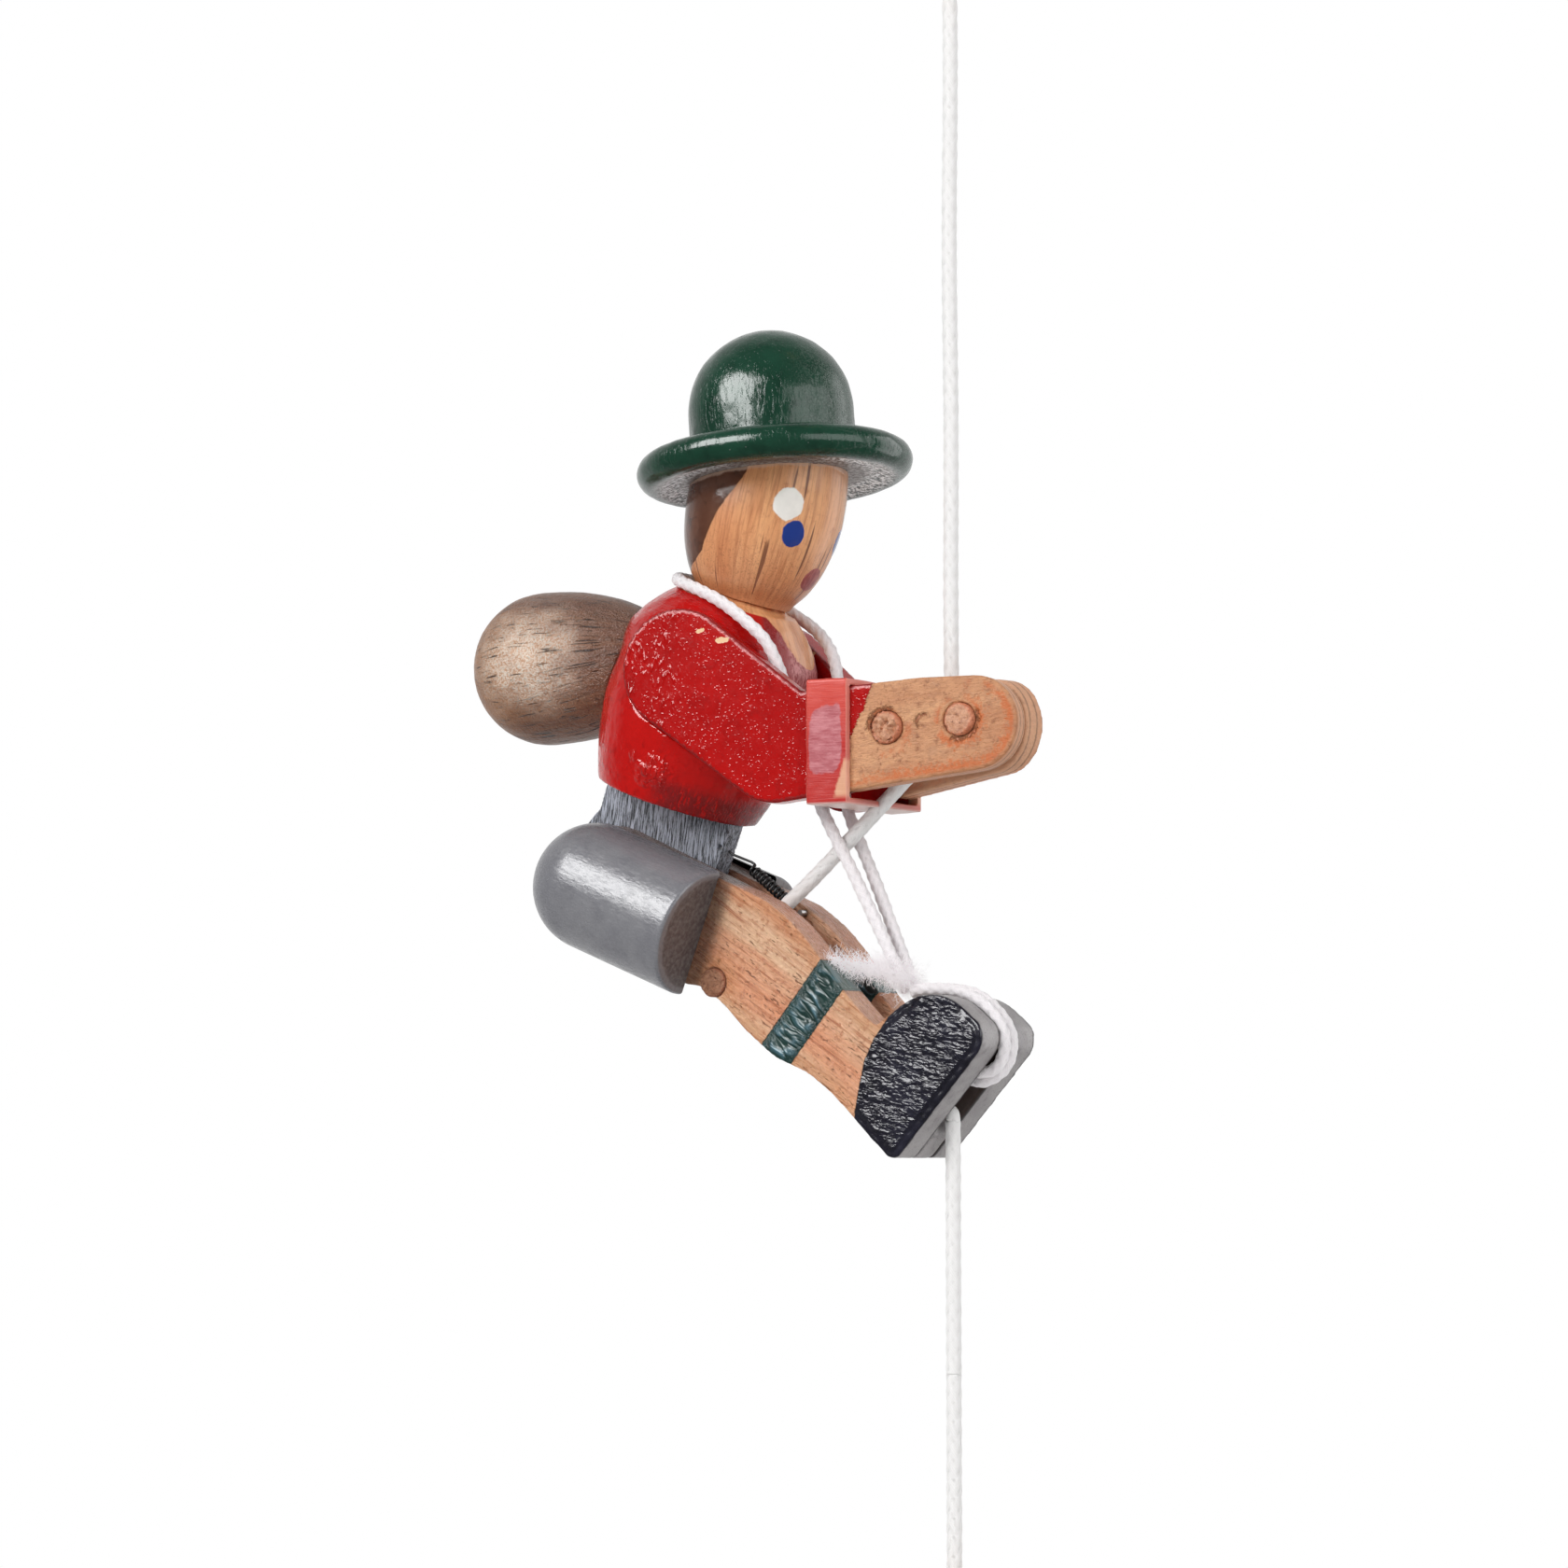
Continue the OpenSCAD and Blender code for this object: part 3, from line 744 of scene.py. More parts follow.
def turbulence(places: np.ndarray, scale: float, octaves: int = 2, seed: float = 0.0) -> np.ndarray:
    """Smooth noise of about -1 to 1 at places in mm, with features of 1 / scale mm."""
    shift = Vector((seed, seed * 1.7, -seed))
    return np.array([noise.fractal(Vector(p) * scale + shift, 0.6, 2.0, octaves) for p in places])


def eased(share: np.ndarray | float) -> np.ndarray | float:
    """A smooth step from 0 to 1."""
    share = np.clip(share, 0, 1)
    return share * share * (3 - 2 * share)


def local_of(places: np.ndarray, at: Matrix) -> np.ndarray:
    """Places in a piece's own frame, in mm."""
    back = np.array(at.inverted())
    return places @ back[:3, :3].T + back[:3, 3]


def marked(piece: bpy.types.Object, name: str, values: np.ndarray) -> None:
    """Gives a mesh a number at each point."""
    attribute = piece.data.attributes.new(name, "FLOAT", "POINT")
    attribute.data.foreach_set("value", values.astype(np.float32))


def rim_marked(piece: bpy.types.Object) -> None:
    """Marks a board's points with their distance in mm from the rim of its broad faces."""
    places, normals = points_of(piece)
    flat = np.abs(normals[:, 1])
    rim = np.nonzero((flat > 0.4) & (flat < 0.8))[0]
    tree = kdtree.KDTree(len(rim))
    for i in rim:
        tree.insert(Vector(places[i]), int(i))
    tree.balance()
    marked(piece, "rim", np.array([min(tree.find(Vector(p))[2], RIM_REACH) for p in places]))


def fitted(
    piece: bpy.types.Object, material: bpy.types.Material, slot: str, body: Body | None, *nodes: str
) -> None:
    """Dresses a piece, lets it ride on its body and stand for its CAD nodes."""
    piece.data.materials.clear()
    piece.data.materials.append(material)
    if body is not None:
        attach(piece, body.value)
    if nodes:
        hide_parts(*nodes)
    log.info("%s: %d faces", piece.name, len(piece.data.polygons))


# Cords


def between(a: Vector, b: Vector, c: Vector, d: Vector, u: float) -> Vector:
    """A place on the smooth curve from b to c, which has a before it and d after it."""
    twice = 2 * b + (c - a) * u + (2 * a - 5 * b + 4 * c - d) * u ** 2 + (3 * b - a - 3 * c + d) * u ** 3
    return 0.5 * twice


def flowing(points: Sequence[Vector], steps: int) -> list[Vector]:
    """A smooth curve through points, with so many steps between two of them."""
    last = len(points) - 1
    result = []
    for i in range(last):
        near = points[max(i - 1, 0)], points[i], points[i + 1], points[min(i + 2, last)]
        result += [between(*near, k / steps) for k in range(steps)]
    return [*result, points[last]]


def evened(points: Sequence[Vector], step: float) -> np.ndarray:
    """A line's points at even distances."""
    line = np.array([tuple(p) for p in points])
    runs = np.concatenate([[0], np.cumsum(np.linalg.norm(np.diff(line, axis=0), axis=1))])
    count = max(2, int(round(runs[-1] / step)) + 1)
    even = np.linspace(0, runs[-1], count)
    return np.stack([np.interp(even, runs, line[:, k]) for k in range(3)], axis=1)


def framed(line: np.ndarray) -> tuple[np.ndarray, np.ndarray]:
    """Two side directions at each point of a line, which turn as little as they can."""
    runs = np.gradient(line, axis=0)
    runs /= np.linalg.norm(runs, axis=1)[:, None]
    first = np.cross(runs[0], (0.31, 0.92, 0.24))
    sides = [first / np.linalg.norm(first)]
    for run in runs[1:]:
        side = sides[-1] - run * (sides[-1] @ run)
        sides.append(side / np.linalg.norm(side))
    across = np.array(sides)
    return across, np.cross(runs, across)


def ringed(line: np.ndarray, sides: int, radii: np.ndarray | float) -> np.ndarray:
    """The points of the rings round a line."""
    first, second = framed(line)
    angles = np.arange(sides) * 2 * math.pi / sides
    out = first[:, None] * np.cos(angles)[None, :, None] + second[:, None] * np.sin(angles)[None, :, None]
    return (line[:, None] + out * radii).reshape(-1, 3)


def tube_faces(rings: int, sides: int, base: int = 0) -> list[tuple[int, ...]]:
    """The faces between a tube's rings, counted from its first point."""
    faces = []
    for i in range(rings - 1):
        for k in range(sides):
            a, b = base + i * sides + k, base + i * sides + (k + 1) % sides
            faces.append((a, b, b + sides, a + sides))
    return faces


def meshed(name: str, places: np.ndarray, faces: list[tuple[int, ...]]) -> bpy.types.Object:
    """A smooth new piece from points in mm and faces."""
    mesh = bpy.data.meshes.new(name)
    mesh.from_pydata(places * MM, [], faces)
    piece = linked(name, mesh)
    smooth(piece)
    return piece


def swept(name: str, line: np.ndarray, radii: np.ndarray) -> bpy.types.Object:
    """A closed tube round a line, with a radius for each ring and side."""
    rings, sides = radii.shape
    skin = ringed(line, sides, radii[:, :, None])
    faces = tube_faces(rings, sides)
    last = (rings - 1) * sides
    ends = [line[0], line[-1]]
    low, high = rings * sides, rings * sides + 1
    faces += [(low, (k + 1) % sides, k) for k in range(sides)]
    faces += [(high, last + k, last + (k + 1) % sides) for k in range(sides)]
    return meshed(name, np.concatenate([skin, ends]), faces)


@dataclass(frozen=True)
class Braid:
    """A round braid of eight strands, four turning each way.

    Attributes:
        radius: half the cord's diameter, in mm.
        cell: length of one crossing along the cord, in mm.
        depth: depth of the furrows, in mm.
        slack: unevenness of its thickness.
        sides: points round the cord.
        step: distance between its rings, in mm.
    """

    radius: float
    cell: float
    depth: float = 0.16
    slack: float = 0.03
    sides: int = 24
    step: float = 0.3

    def laid(self, name: str, route: Sequence[Vector]) -> bpy.types.Object:
        """The braid along a route of points in mm."""
        line = evened(route, self.step)
        along = np.arange(len(line)) * self.step
        turn = np.arange(self.sides) / self.sides * 4
        right = turn[None] + along[:, None] / self.cell
        left = turn[None] - along[:, None] / self.cell
        crossing = np.sin(math.pi * right) * np.sin(math.pi * left)
        bulges = [np.sqrt(np.clip(1 - (2 * (u % 1) - 1) ** 2, 0, 1)) for u in (right, left)]
        first, second = bulges[0] * 0.6 + crossing * 0.45, bulges[1] * 0.6 - crossing * 0.45
        height = np.clip(np.maximum(first, second), 0.3, 1)
        uneven = np.array([noise.noise(Vector(p) * 0.5) for p in line])[:, None] * self.slack
        radii = (self.radius - self.depth) * (1 + uneven) + height * self.depth
        piece = swept(name, line, radii)
        caps = np.full(2, 0.5)
        marked(piece, "crest", np.concatenate([height.ravel(), caps]))
        marked(piece, "yarn", np.concatenate([np.where(first > second, right % 1, left % 1).ravel(), caps]))
        return piece


CLIMB_BRAID = Braid(1.25, 3.0)
TIE_BRAID = Braid(1.08, 2.0, 0.27, 0.1, 20, 0.26)
STOPPER_BRAID = Braid(1.0, 2.6, 0.16, 0.03, 20)
BOW_BRAID = Braid(0.7, 1.8, 0.14, 0.1, 16, 0.25)
CLIMB_FINISH = CordFinish(srgb(237, 236, 235), srgb(190, 188, 186))
TIE_FINISH = CordFinish(srgb(240, 236, 238), srgb(158, 150, 155), 4.0)


def length_of(points: Sequence[Vector]) -> float:
    """A line's length in metres."""
    return sum((b - a).length for a, b in zip(points, points[1:])) * MM


def in_metres(points: Sequence[Vector]) -> list[tuple[float, ...]]:
    """Points in metres, for a cord's path."""
    return [tuple(p * MM) for p in points]


@dataclass
class Cords:
    """The climbing cord with its knots, tab and bead, and the tie cord."""

    hand_bend: tuple = ((-0.75, 0, 6), (-0.9, 0, 2.6), (-2.2, 0, -0.9), (-4.9, 0, -4.5), (-10.5, 0, -9.6))
    thigh_bend: tuple = (
        (-26, -0.4, -23), (-32.5, -0.9, -28.4), (-39, -0.9, -34), (-44.3, -0.6, -38.4),
        (-45.6, -0.3, -40.6), (-45.2, 0, -43), (-43.2, 0, -44.6),
    )
    sole_run: tuple = ((-36, 0, -47.7), (-18, 0, -55.4), (-4, 0, -61.3), (-1.4, 0, -62.3), (-0.75, 0, -63.2),
                       (-0.75, 0, -63.8))
    neck: tuple = (
        (0.758, 18.1, -7.9), (0.872, 14.3, -9.1), (0.934, 9.6, -10.2), (0.974, 4.4, -10.6),
        (0.99, -0.4, -10.6), (0.994, -5.7, -9.4), (0.992, -9.1, -5.5), (0.988, -10.4, 0),
        (0.992, -9.1, 5.5), (0.994, -5.7, 9.4), (0.99, -0.4, 10.6), (0.975, 4.5, 10.5), (0.938, 10, 10.3),
        (0.876, 14.6, 9.3), (0.768, 18.4, 8),
    )
    near_tie: tuple = ((-27.4, -5.6, 2), (-25.6, -3.8, -6), (-24, -2.9, -13), (-18, -2, -24.6),
                       (-10.2, -1.1, -40))
    far_tie: tuple = ((-26.8, 5.6, 2), (-24.4, 3.8, -6), (-22.8, 2.9, -13), (-17, 2, -24.6),
                      (-10, 1.3, -39.6))
    toe_loop: tuple = (
        (-7.6, -43.2), (-2.6, -42.8), (2.6, -43.6), (7, -46.4), (9.7, -50.6), (8.6, -55.2),
        (4.2, -57.6), (-0.6, -55.8), (-3.2, -51.4), (-6, -47),
    )
    top_knot_z: float = -14.4
    bead_z: float = -284.0
    bead_r: float = 8.0
    foot_knot_z: float = -294.63
    lower_share: float = 40.0
    wrap_step: float = 2.4
    tie_r: float = 0.9

    def knot(self, name: str, centre: Vector, size: float, braid: Braid, turn: float) -> bpy.types.Object:
        """A pulled-tight knot: a short cord wound round itself in three lobes."""
        points = []
        for i in range(61):
            t = 2 * math.pi * i / 60
            x, y = math.sin(t) + 2 * math.sin(2 * t), math.cos(t) - 2 * math.cos(2 * t)
            lobe = Vector((x, y, -1.5 * math.sin(3 * t)))
            points.append(centre + Matrix.Rotation(turn, 3, "X") @ lobe * size)
        return braid.laid(name, points)

    def climbing(self) -> None:
        """The climbing cord in four stretches, with what is on its two ends."""
        white = CLIMB_FINISH.material("white_braid")
        bend = [spot(*p) for p in self.hand_bend]
        drop = bend[0].z + 6 - self.top_knot_z
        top = [Vector((0.12 * math.sin(i * 1.3), 0.1 * math.sin(i * 0.9), self.top_knot_z + drop * i / 9))
               for i in range(10)]
        upper = flowing([*top, *bend[:4]], 8)
        piece = CLIMB_BRAID.laid("upper_braid", upper)
        tab = carved("tab_board", "hang_tab", 0.4, 6)
        beech = wood_material("tab_beech", PLAIN_BEECH, Matrix.Identity(4))
        fitted(tab, beech, "plain_wood", Body.LINE, "hang_tab")
        knot = self.knot("tab_stopper", Vector((0, 0, self.top_knot_z)), 0.5, STOPPER_BRAID, 0.4)
        fitted(knot, white, "white_cord", Body.LINE, "top_knot")
        length_of(upper)
        in_metres(upper)
        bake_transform(piece)
        fitted(piece, white, "white_cord", None, "upper_cord")

        mid = flowing([*bend[3:], *[spot(*p) for p in (*self.thigh_bend, *self.sole_run)]], 8)
        piece = CLIMB_BRAID.laid("middle_braid", mid)
        length_of(mid)
        in_metres(mid)
        tuple(spot(-8, 0, -8) * MM)
        tuple(spot(-39, 0, -34) * MM)
        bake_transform(piece)
        fitted(piece, white, "white_cord", None, "mid_cord")

        exit_z, meet_z = mid[-1].z, mid[-1].z - self.lower_share
        first = [Vector((0, 0, exit_z - self.lower_share * i / 20)) for i in range(21)]
        piece = CLIMB_BRAID.laid("foot_braid", first)
        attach(piece, "grip")
        in_metres(first)
        fitted(piece, white, "white_cord", Body.GRIP, "lower_cord")
        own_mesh(piece)

        last = [Vector((0, 0, meet_z + (self.foot_knot_z - meet_z) * i / 20)) for i in range(21)]
        piece = CLIMB_BRAID.laid("pull_braid", last)
        bead = self.bead()
        knot = self.knot("bead_stopper", Vector((0, 0, self.foot_knot_z)), 0.5, STOPPER_BRAID, 1.3)
        fitted(knot, white, "white_cord", Body.LINE, "bottom_knot")
        length_of(last)
        in_metres(last)
        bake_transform(piece)
        fitted(piece, white, "white_cord", None)

    def bead(self) -> bpy.types.Object:
        """The turned pull bead on the cord's lower end."""
        r, hole = self.bead_r, 1.55
        low = math.degrees(math.asin(hole / r))
        profile = [(hole, -r * 0.97), *bow((0, 0), r, -90 + low + 4, 90 - low - 4, 40), (hole, r * 0.97)]
        profile = stepped([*profile, (hole, 0), (hole, -r * 0.97)], 0.8)
        at = Matrix.Translation((0, 0, self.bead_z))
        bead = turned("pull_ball", profile, 72, at)
        fitted(bead, wood_material("ball_beech", PLAIN_BEECH, at), "plain_wood", Body.LINE, "pull_bead")
        return bead

    def on_torso(self, share: float, ahead: float, y: float) -> Vector:
        """A place given by its share of the torso's length and its distance ahead of the axis."""
        return Torso().frame() @ Vector((ahead, y, share * Torso().length))

    def tie(self) -> None:
        """The tie cord: up from the knot, round the neck and down again, and round the toes."""
        finish = TIE_FINISH.material("tie_braid")
        neck = [self.on_torso(*p) for p in self.neck]
        route = [*[spot(*p) for p in reversed(self.near_tie)], *neck, *[spot(*p) for p in self.far_tie]]
        line = flowing(route, 8)
        knot = self.knot("tie_bow", spot(-9.4, 0, -41.8), 0.36, BOW_BRAID, 0.8)
        fitted(knot, finish, "tie_cord", Body.LEGS, "tie_knot")
        piece = TIE_BRAID.laid("neck_tie", line)
        tuple(line[0] * MM)
        length_of(line)
        in_metres(line)
        tuple(spot(-26, 0, 0) * MM)
        tuple(spot(-11, 0, -38) * MM)
        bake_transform(piece)
        fitted(piece, finish, "tie_cord", None, "neck_loop", "near_tie", "far_tie")
        wraps = self.toe_wraps()
        piece = TIE_BRAID.laid("toe_turns", wraps)
        fitted(piece, finish, "tie_cord", Body.LEGS, "toe_wraps")
        tuple(wraps[0] * MM)
        length_of(wraps)
        in_metres(wraps)
        self.fluff()

    def toe_wraps(self) -> list[Vector]:
        """Two turns round the toes, side by side, with the hidden inner pass stepped in."""
        rings, tuck, wide = 96, 10, 2 * self.tie_r + 0.42
        loop = [Vector((x, 0, z)) for x, z in self.toe_loop]
        count = len(loop)

        def at(u: float) -> Vector:
            """A place on the closed loop."""
            i = math.floor(u)
            return between(*(loop[(i + k) % count] for k in (-1, 0, 1, 2)), u - i)

        points = []
        for i in range(2 * rings - tuck + 1):
            t = i / rings
            u = t * count
            run = (at(u + 0.1) - at(u - 0.1)).normalized()
            inward = self.wrap_step * (eased((t - 0.5) / 0.15) - eased((t - 1) / 0.12))
            place = at(u) + Vector((run.z, 0, -run.x)) * inward
            points.append(spot(place.x, wide * (eased((t - 0.62) / 0.28) - 0.5), place.z))
        line = evened(points, 0.6)
        for _ in range(6):
            line[1:-1] = line[1:-1] * 0.5 + (line[:-2] + line[2:]) * 0.25
        return [Vector(p) for p in line]

    def fluff(self) -> None:
        """The frayed ends of the knot: a tuft of fine curled fibres that lies back on the shins, with a faint
        painted glow.
        """
        rng = random.Random(7)
        fibres, knees, sides, fibre_r = 2300, 8, 3, 0.024
        bends = (-8.4, -0.6, -41.4), (-11.6, -1.6, -39.6), (-15.4, -3, -39.2), (-20.8, -5.4, -38.2)
        spine = flowing([spot(*p) for p in bends], 10)

        def scatter() -> Vector:
            """A random step."""
            return Vector((rng.gauss(0, 1), rng.gauss(0, 1), rng.gauss(0, 1)))

        places, faces = [], []
        for i in range(fibres):
            start = rng.random() ** 1.35
            place = spine[int(start * (len(spine) - 1))].copy()
            wide = 2.5 - 1.5 * start
            place += scatter() * wide * 0.42
            heading = Vector((rng.gauss(-0.7, 0.8), rng.gauss(-0.2, 0.7), rng.gauss(0.2, 0.7))).normalized()
            curl = scatter().normalized()
            points, reach = [], rng.uniform(0.2, 0.5)
            for _ in range(knees):
                points.append(tuple(place))
                heading = (heading + curl * 0.35 + scatter() * 0.22).normalized()
                place = place + heading * reach
            places.append(ringed(np.array(points), sides, fibre_r))
            base = i * knees * sides
            last = base + (knees - 1) * sides
            faces += [*tube_faces(knees, sides, base), (base + 2, base + 1, base), (last, last + 1, last + 2)]
        piece = meshed("knot_fluff", np.concatenate(places), faces)
        shader = Shader("frayed_cotton")
        tint = shader.cloud(shader.local(Matrix.Identity(4)), 0.6, 2.0)
        colour = shader.mixed(tint, (0.95, 0.93, 0.94), (0.86, 0.82, 0.84))
        # painted light: a faint white glow stands in for the light scattered between the fibres
        shader.bsdf.inputs["Emission Color"].default_value = (1.0, 0.97, 0.98, 1.0)
        shader.bsdf.inputs["Emission Strength"].default_value = 0.16
        fitted(piece, shader.done(Skin(colour, 0.9), 0.2), "tie_cord", Body.LEGS)


# Hat and head


@dataclass
class Hat:
    """The turned bowler hat in green gloss paint, with a dusty underside and painted shade under the brim."""

    brim_r: float = 23.0
    brim_t: float = 4.6
    rim_r: float = 2.8
    crown_r: float = 13.8
    crown_h: float = 20.4

    def frame(self) -> Matrix:
        """The hat's own frame, at the middle of its underside."""
        return standing(-35.3, 42.6, -5, -0.4)

    def profile(self) -> list[Pair]:
        """The hat's outline from the middle of its underside to its top."""
        rim, base = self.rim_r, self.crown_h - self.crown_r
        points = [(0, 0), (16.6, 0), *bow((self.brim_r - rim, self.brim_t - rim + 0.1), rim, -98, 90, 16)]
        points += [(self.crown_r + 1.6, self.brim_t)]
        points += bow((self.crown_r + 1.2, self.brim_t + 1.2), 1.2, 270, 180, 6)
        points += bow((0, self.brim_t + base), self.crown_r, 0, 90, 34)
        points[-1] = (0, points[-1][1])
        return stepped(points, 0.8)

    def build(self) -> None:
        """Makes and dresses the hat."""
        piece = turned("bowler_hat", self.profile(), 180, self.frame())
        raised(piece, lambda places, _: turbulence(places, 0.33, 2, 4.0) * 0.05)
        fitted(piece, self.material(), "green_lacquer", Body.TORSO, "hat")

    def material(self) -> bpy.types.Material:
        """Green gloss that thins out under the brim to a speckled grey, with painted shade under the brim and
        a painted reflection on the crown's right side.
        """
        shader = Shader("hat_lacquer")
        place = shader.local(self.frame())
        x, y, z = shader.parts(place)
        green = HAT_GREEN.skin(shader, place)
        drips = shader.cloud(shader.stretched(place, 1.6, 1.6, 0.34), 1.5, 3.0, 0.6, 0.8)
        green.relief = green.relief + shader.ramped(drips, 0.5, 0.8) * 0.032
        reach = distance(x, y)
        dust = shader.cloud(place, 1.4, 3.0, 0.75)
        grey = shader.mixed(shader.ramped(dust, 0.43, 0.57), srgb(84, 92, 90), srgb(250, 253, 254))
        under = Skin(grey, 0.42, dust * 0.1)
        # painted shade under the brim: brown next to the crown, and darker again on the side that faces the
        # camera
        shader.tint(under, reach.under(15.4, 1.4) * 0.7, 84, 64, 54)
        shader.tint(under, (x * 0.574 - y * 0.819).above(13.5, 1.6) * 0.85, 58, 52, 44)
        bare = z.under(0.8, 0.1) * (reach + (dust - 0.5) * 6.0).under(20.2, 1.3)
        # painted reflection: pale grey-green speckles and a rougher gloss on the crown's right side
        crown_reflection = (x * 0.8 + y * 0.6).above(6.0, 5.0) * z.above(5.0, 1.0)
        dots = shader.cloud(place, 3.2, 2.0, 0.6)
        shader.tint(green, crown_reflection * shader.ramped(dots, 0.42, 0.66) * 0.4, 118, 130, 122)
        green.rough = crown_reflection * dots * 0.22 + green.rough
        skin = shader.over(bare, green, under)
        return shader.done(skin, 0.45)


@dataclass
class Head:
    """The turned beech head with its painted hair, eyes and mouth."""

    radius: float = 13.1
    length: float = 25.0
    shares: tuple = ((0.63, 0), (0.794, 0.12), (0.926, 0.3), (1, 0.54), (0.985, 0.76), (0.912, 1))
    white_at: tuple = (10.31, 8.07, 16.57)
    blue_at: tuple = (11.31, 6.3, 11.98)
    mouth_at: tuple = (11.2, 1.8, 5.1)
    hair_line: tuple = ((0.9, -0.98), (2.05, -0.68), (3.86, -0.4), (5.95, -0.2), (9.95, -0.072),
                        (13.2, 0.026), (16.7, 0.165), (20.2, 0.28))

    def frame(self) -> Matrix:
        """The head's own frame, at its chin, with its Z up through the crown."""
        top = Torso().frame() @ Vector((0, 0, Torso().length))
        return Matrix.Translation(Vector((1, 0, 0)) + top) @ Matrix.Rotation(math.radians(16), 4, "Y")

    def build(self) -> None:
        """Makes and dresses the head."""
        side = [Vector((r * self.radius, 0, z * self.length)) for r, z in self.shares]
        points = [(p.x, p.z) for p in flowing(side, 8)]
        profile = stepped([(0, -1.4), (7.6, -1.4), *points, (0, self.length)], 0.7)
        piece = turned("turned_head", profile, 140, self.frame())
        hat, torso = Hat().frame(), Torso().frame()
        halved(piece, hat @ Vector((0, 0, -0.03)), (hat.to_3x3() @ Vector((0, 0, 1))))
        halved(piece, torso @ Vector((0, 0, Torso().length + 0.03)), -(torso.to_3x3() @ Vector((0, 0, 1))))
        smooth(piece, 50)
        raised(piece, self.relief)
        fitted(piece, self.material(), "head_wood", Body.TORSO, "head")

    def relief(self, places: np.ndarray, normals: np.ndarray) -> np.ndarray:
        """Thickness of the paint dabs, and the grain's slight waves."""
        local = local_of(places, self.frame())
        height = turbulence(local * (1, 1, 0.15), 0.5, 2, 2.0) * 0.03
        for at, wide, tall in ((self.white_at, 2.5, 2.75), (self.blue_at, 1.95, 2.3)):
            for side in Side:
                centre = np.array((at[0], at[1] * side.value, at[2]))
                gap = np.linalg.norm((local - centre) / (wide, wide, tall), axis=1)
                height += np.clip(1.1 - gap, 0, 0.2) * 0.5
        return height

    def material(self) -> bpy.types.Material:
        """Varnished beech under hair, eyes and mouth."""
        shader = Shader("head_paint")
        place = shader.local(self.frame())
        x, y, z = shader.parts(place)
        aside = abs(y)
        wobble = shader.cloud(place, 0.45, 3.0, 0.6)
        skin = HEAD_BEECH.skin(shader, place, HEAD_ROLL_R)
        shade = shader.curve(z, 0.0, 25.0, [(0.0, 0.75), (5.0, 0.3), (12.0, 0.0)], 1.0)
        shader.tint(skin, shade * 0.5, 172, 108, 80)
        fine = shader.cloud(place, 3.0, 3.0, 0.7)
        shader.tint(skin, shader.ramped(fine, 0.52, 0.66) * z.under(9.0, 4.0) * 0.4, 120, 70, 46)
        turn = x / distance(x, y)
        line = shader.curve(z, 0.0, 25.0, self.hair_line, 1.0)
        hair = (line - turn + (wobble - 0.5) * 0.05).above(0.0, 0.012) * z.above(1.0, 0.3)
        brown = HAIR_BROWN.skin(shader, place)
        skin = shader.over(hair, skin, brown)
        _, _, drop = shader.parts(shader.local(Hat().frame()))
        glue = (drop + (wobble - 0.5) * 1.2).above(-0.5, 0.25)
        skin = shader.over(glue * 0.6, skin, Skin(srgb(206, 176, 156), 0.25, 0.15))
        spots = (
            (Vector(self.white_at), 2.5, 2.75, srgb(246, 243, 236), 0.35),
            (Vector(self.blue_at), 1.95, 2.3, srgb(30, 58, 138), 0.2),
        )
        for at, wide, tall, colour, rough in spots:
            mask = shader.dab((x, aside, z), at, wide, tall, wobble)
            darker = tuple(c * 0.72 for c in colour)
            tone = shader.mixed(shader.ramped(wobble, 0.3, 0.7) * 0.25, colour, darker)
            skin = shader.over(mask, skin, Skin(tone, rough, wobble * 0.05 + 0.06, 0.4))
        mask = shader.dab((x, y, z), Vector(self.mouth_at), 2.5, 2.1, wobble)
        thin = shader.cloud(shader.stretched(place, 1, 1, 0.3), 1.6, 2.0)
        red = shader.mixed(shader.ramped(thin, 0.35, 0.65), srgb(138, 34, 40), srgb(168, 74, 70))
        skin = shader.over(mask * 0.95, skin, Skin(red, 0.35, 0.05))
        return shader.done(skin, 0.4)


# Torso, backpack and arms


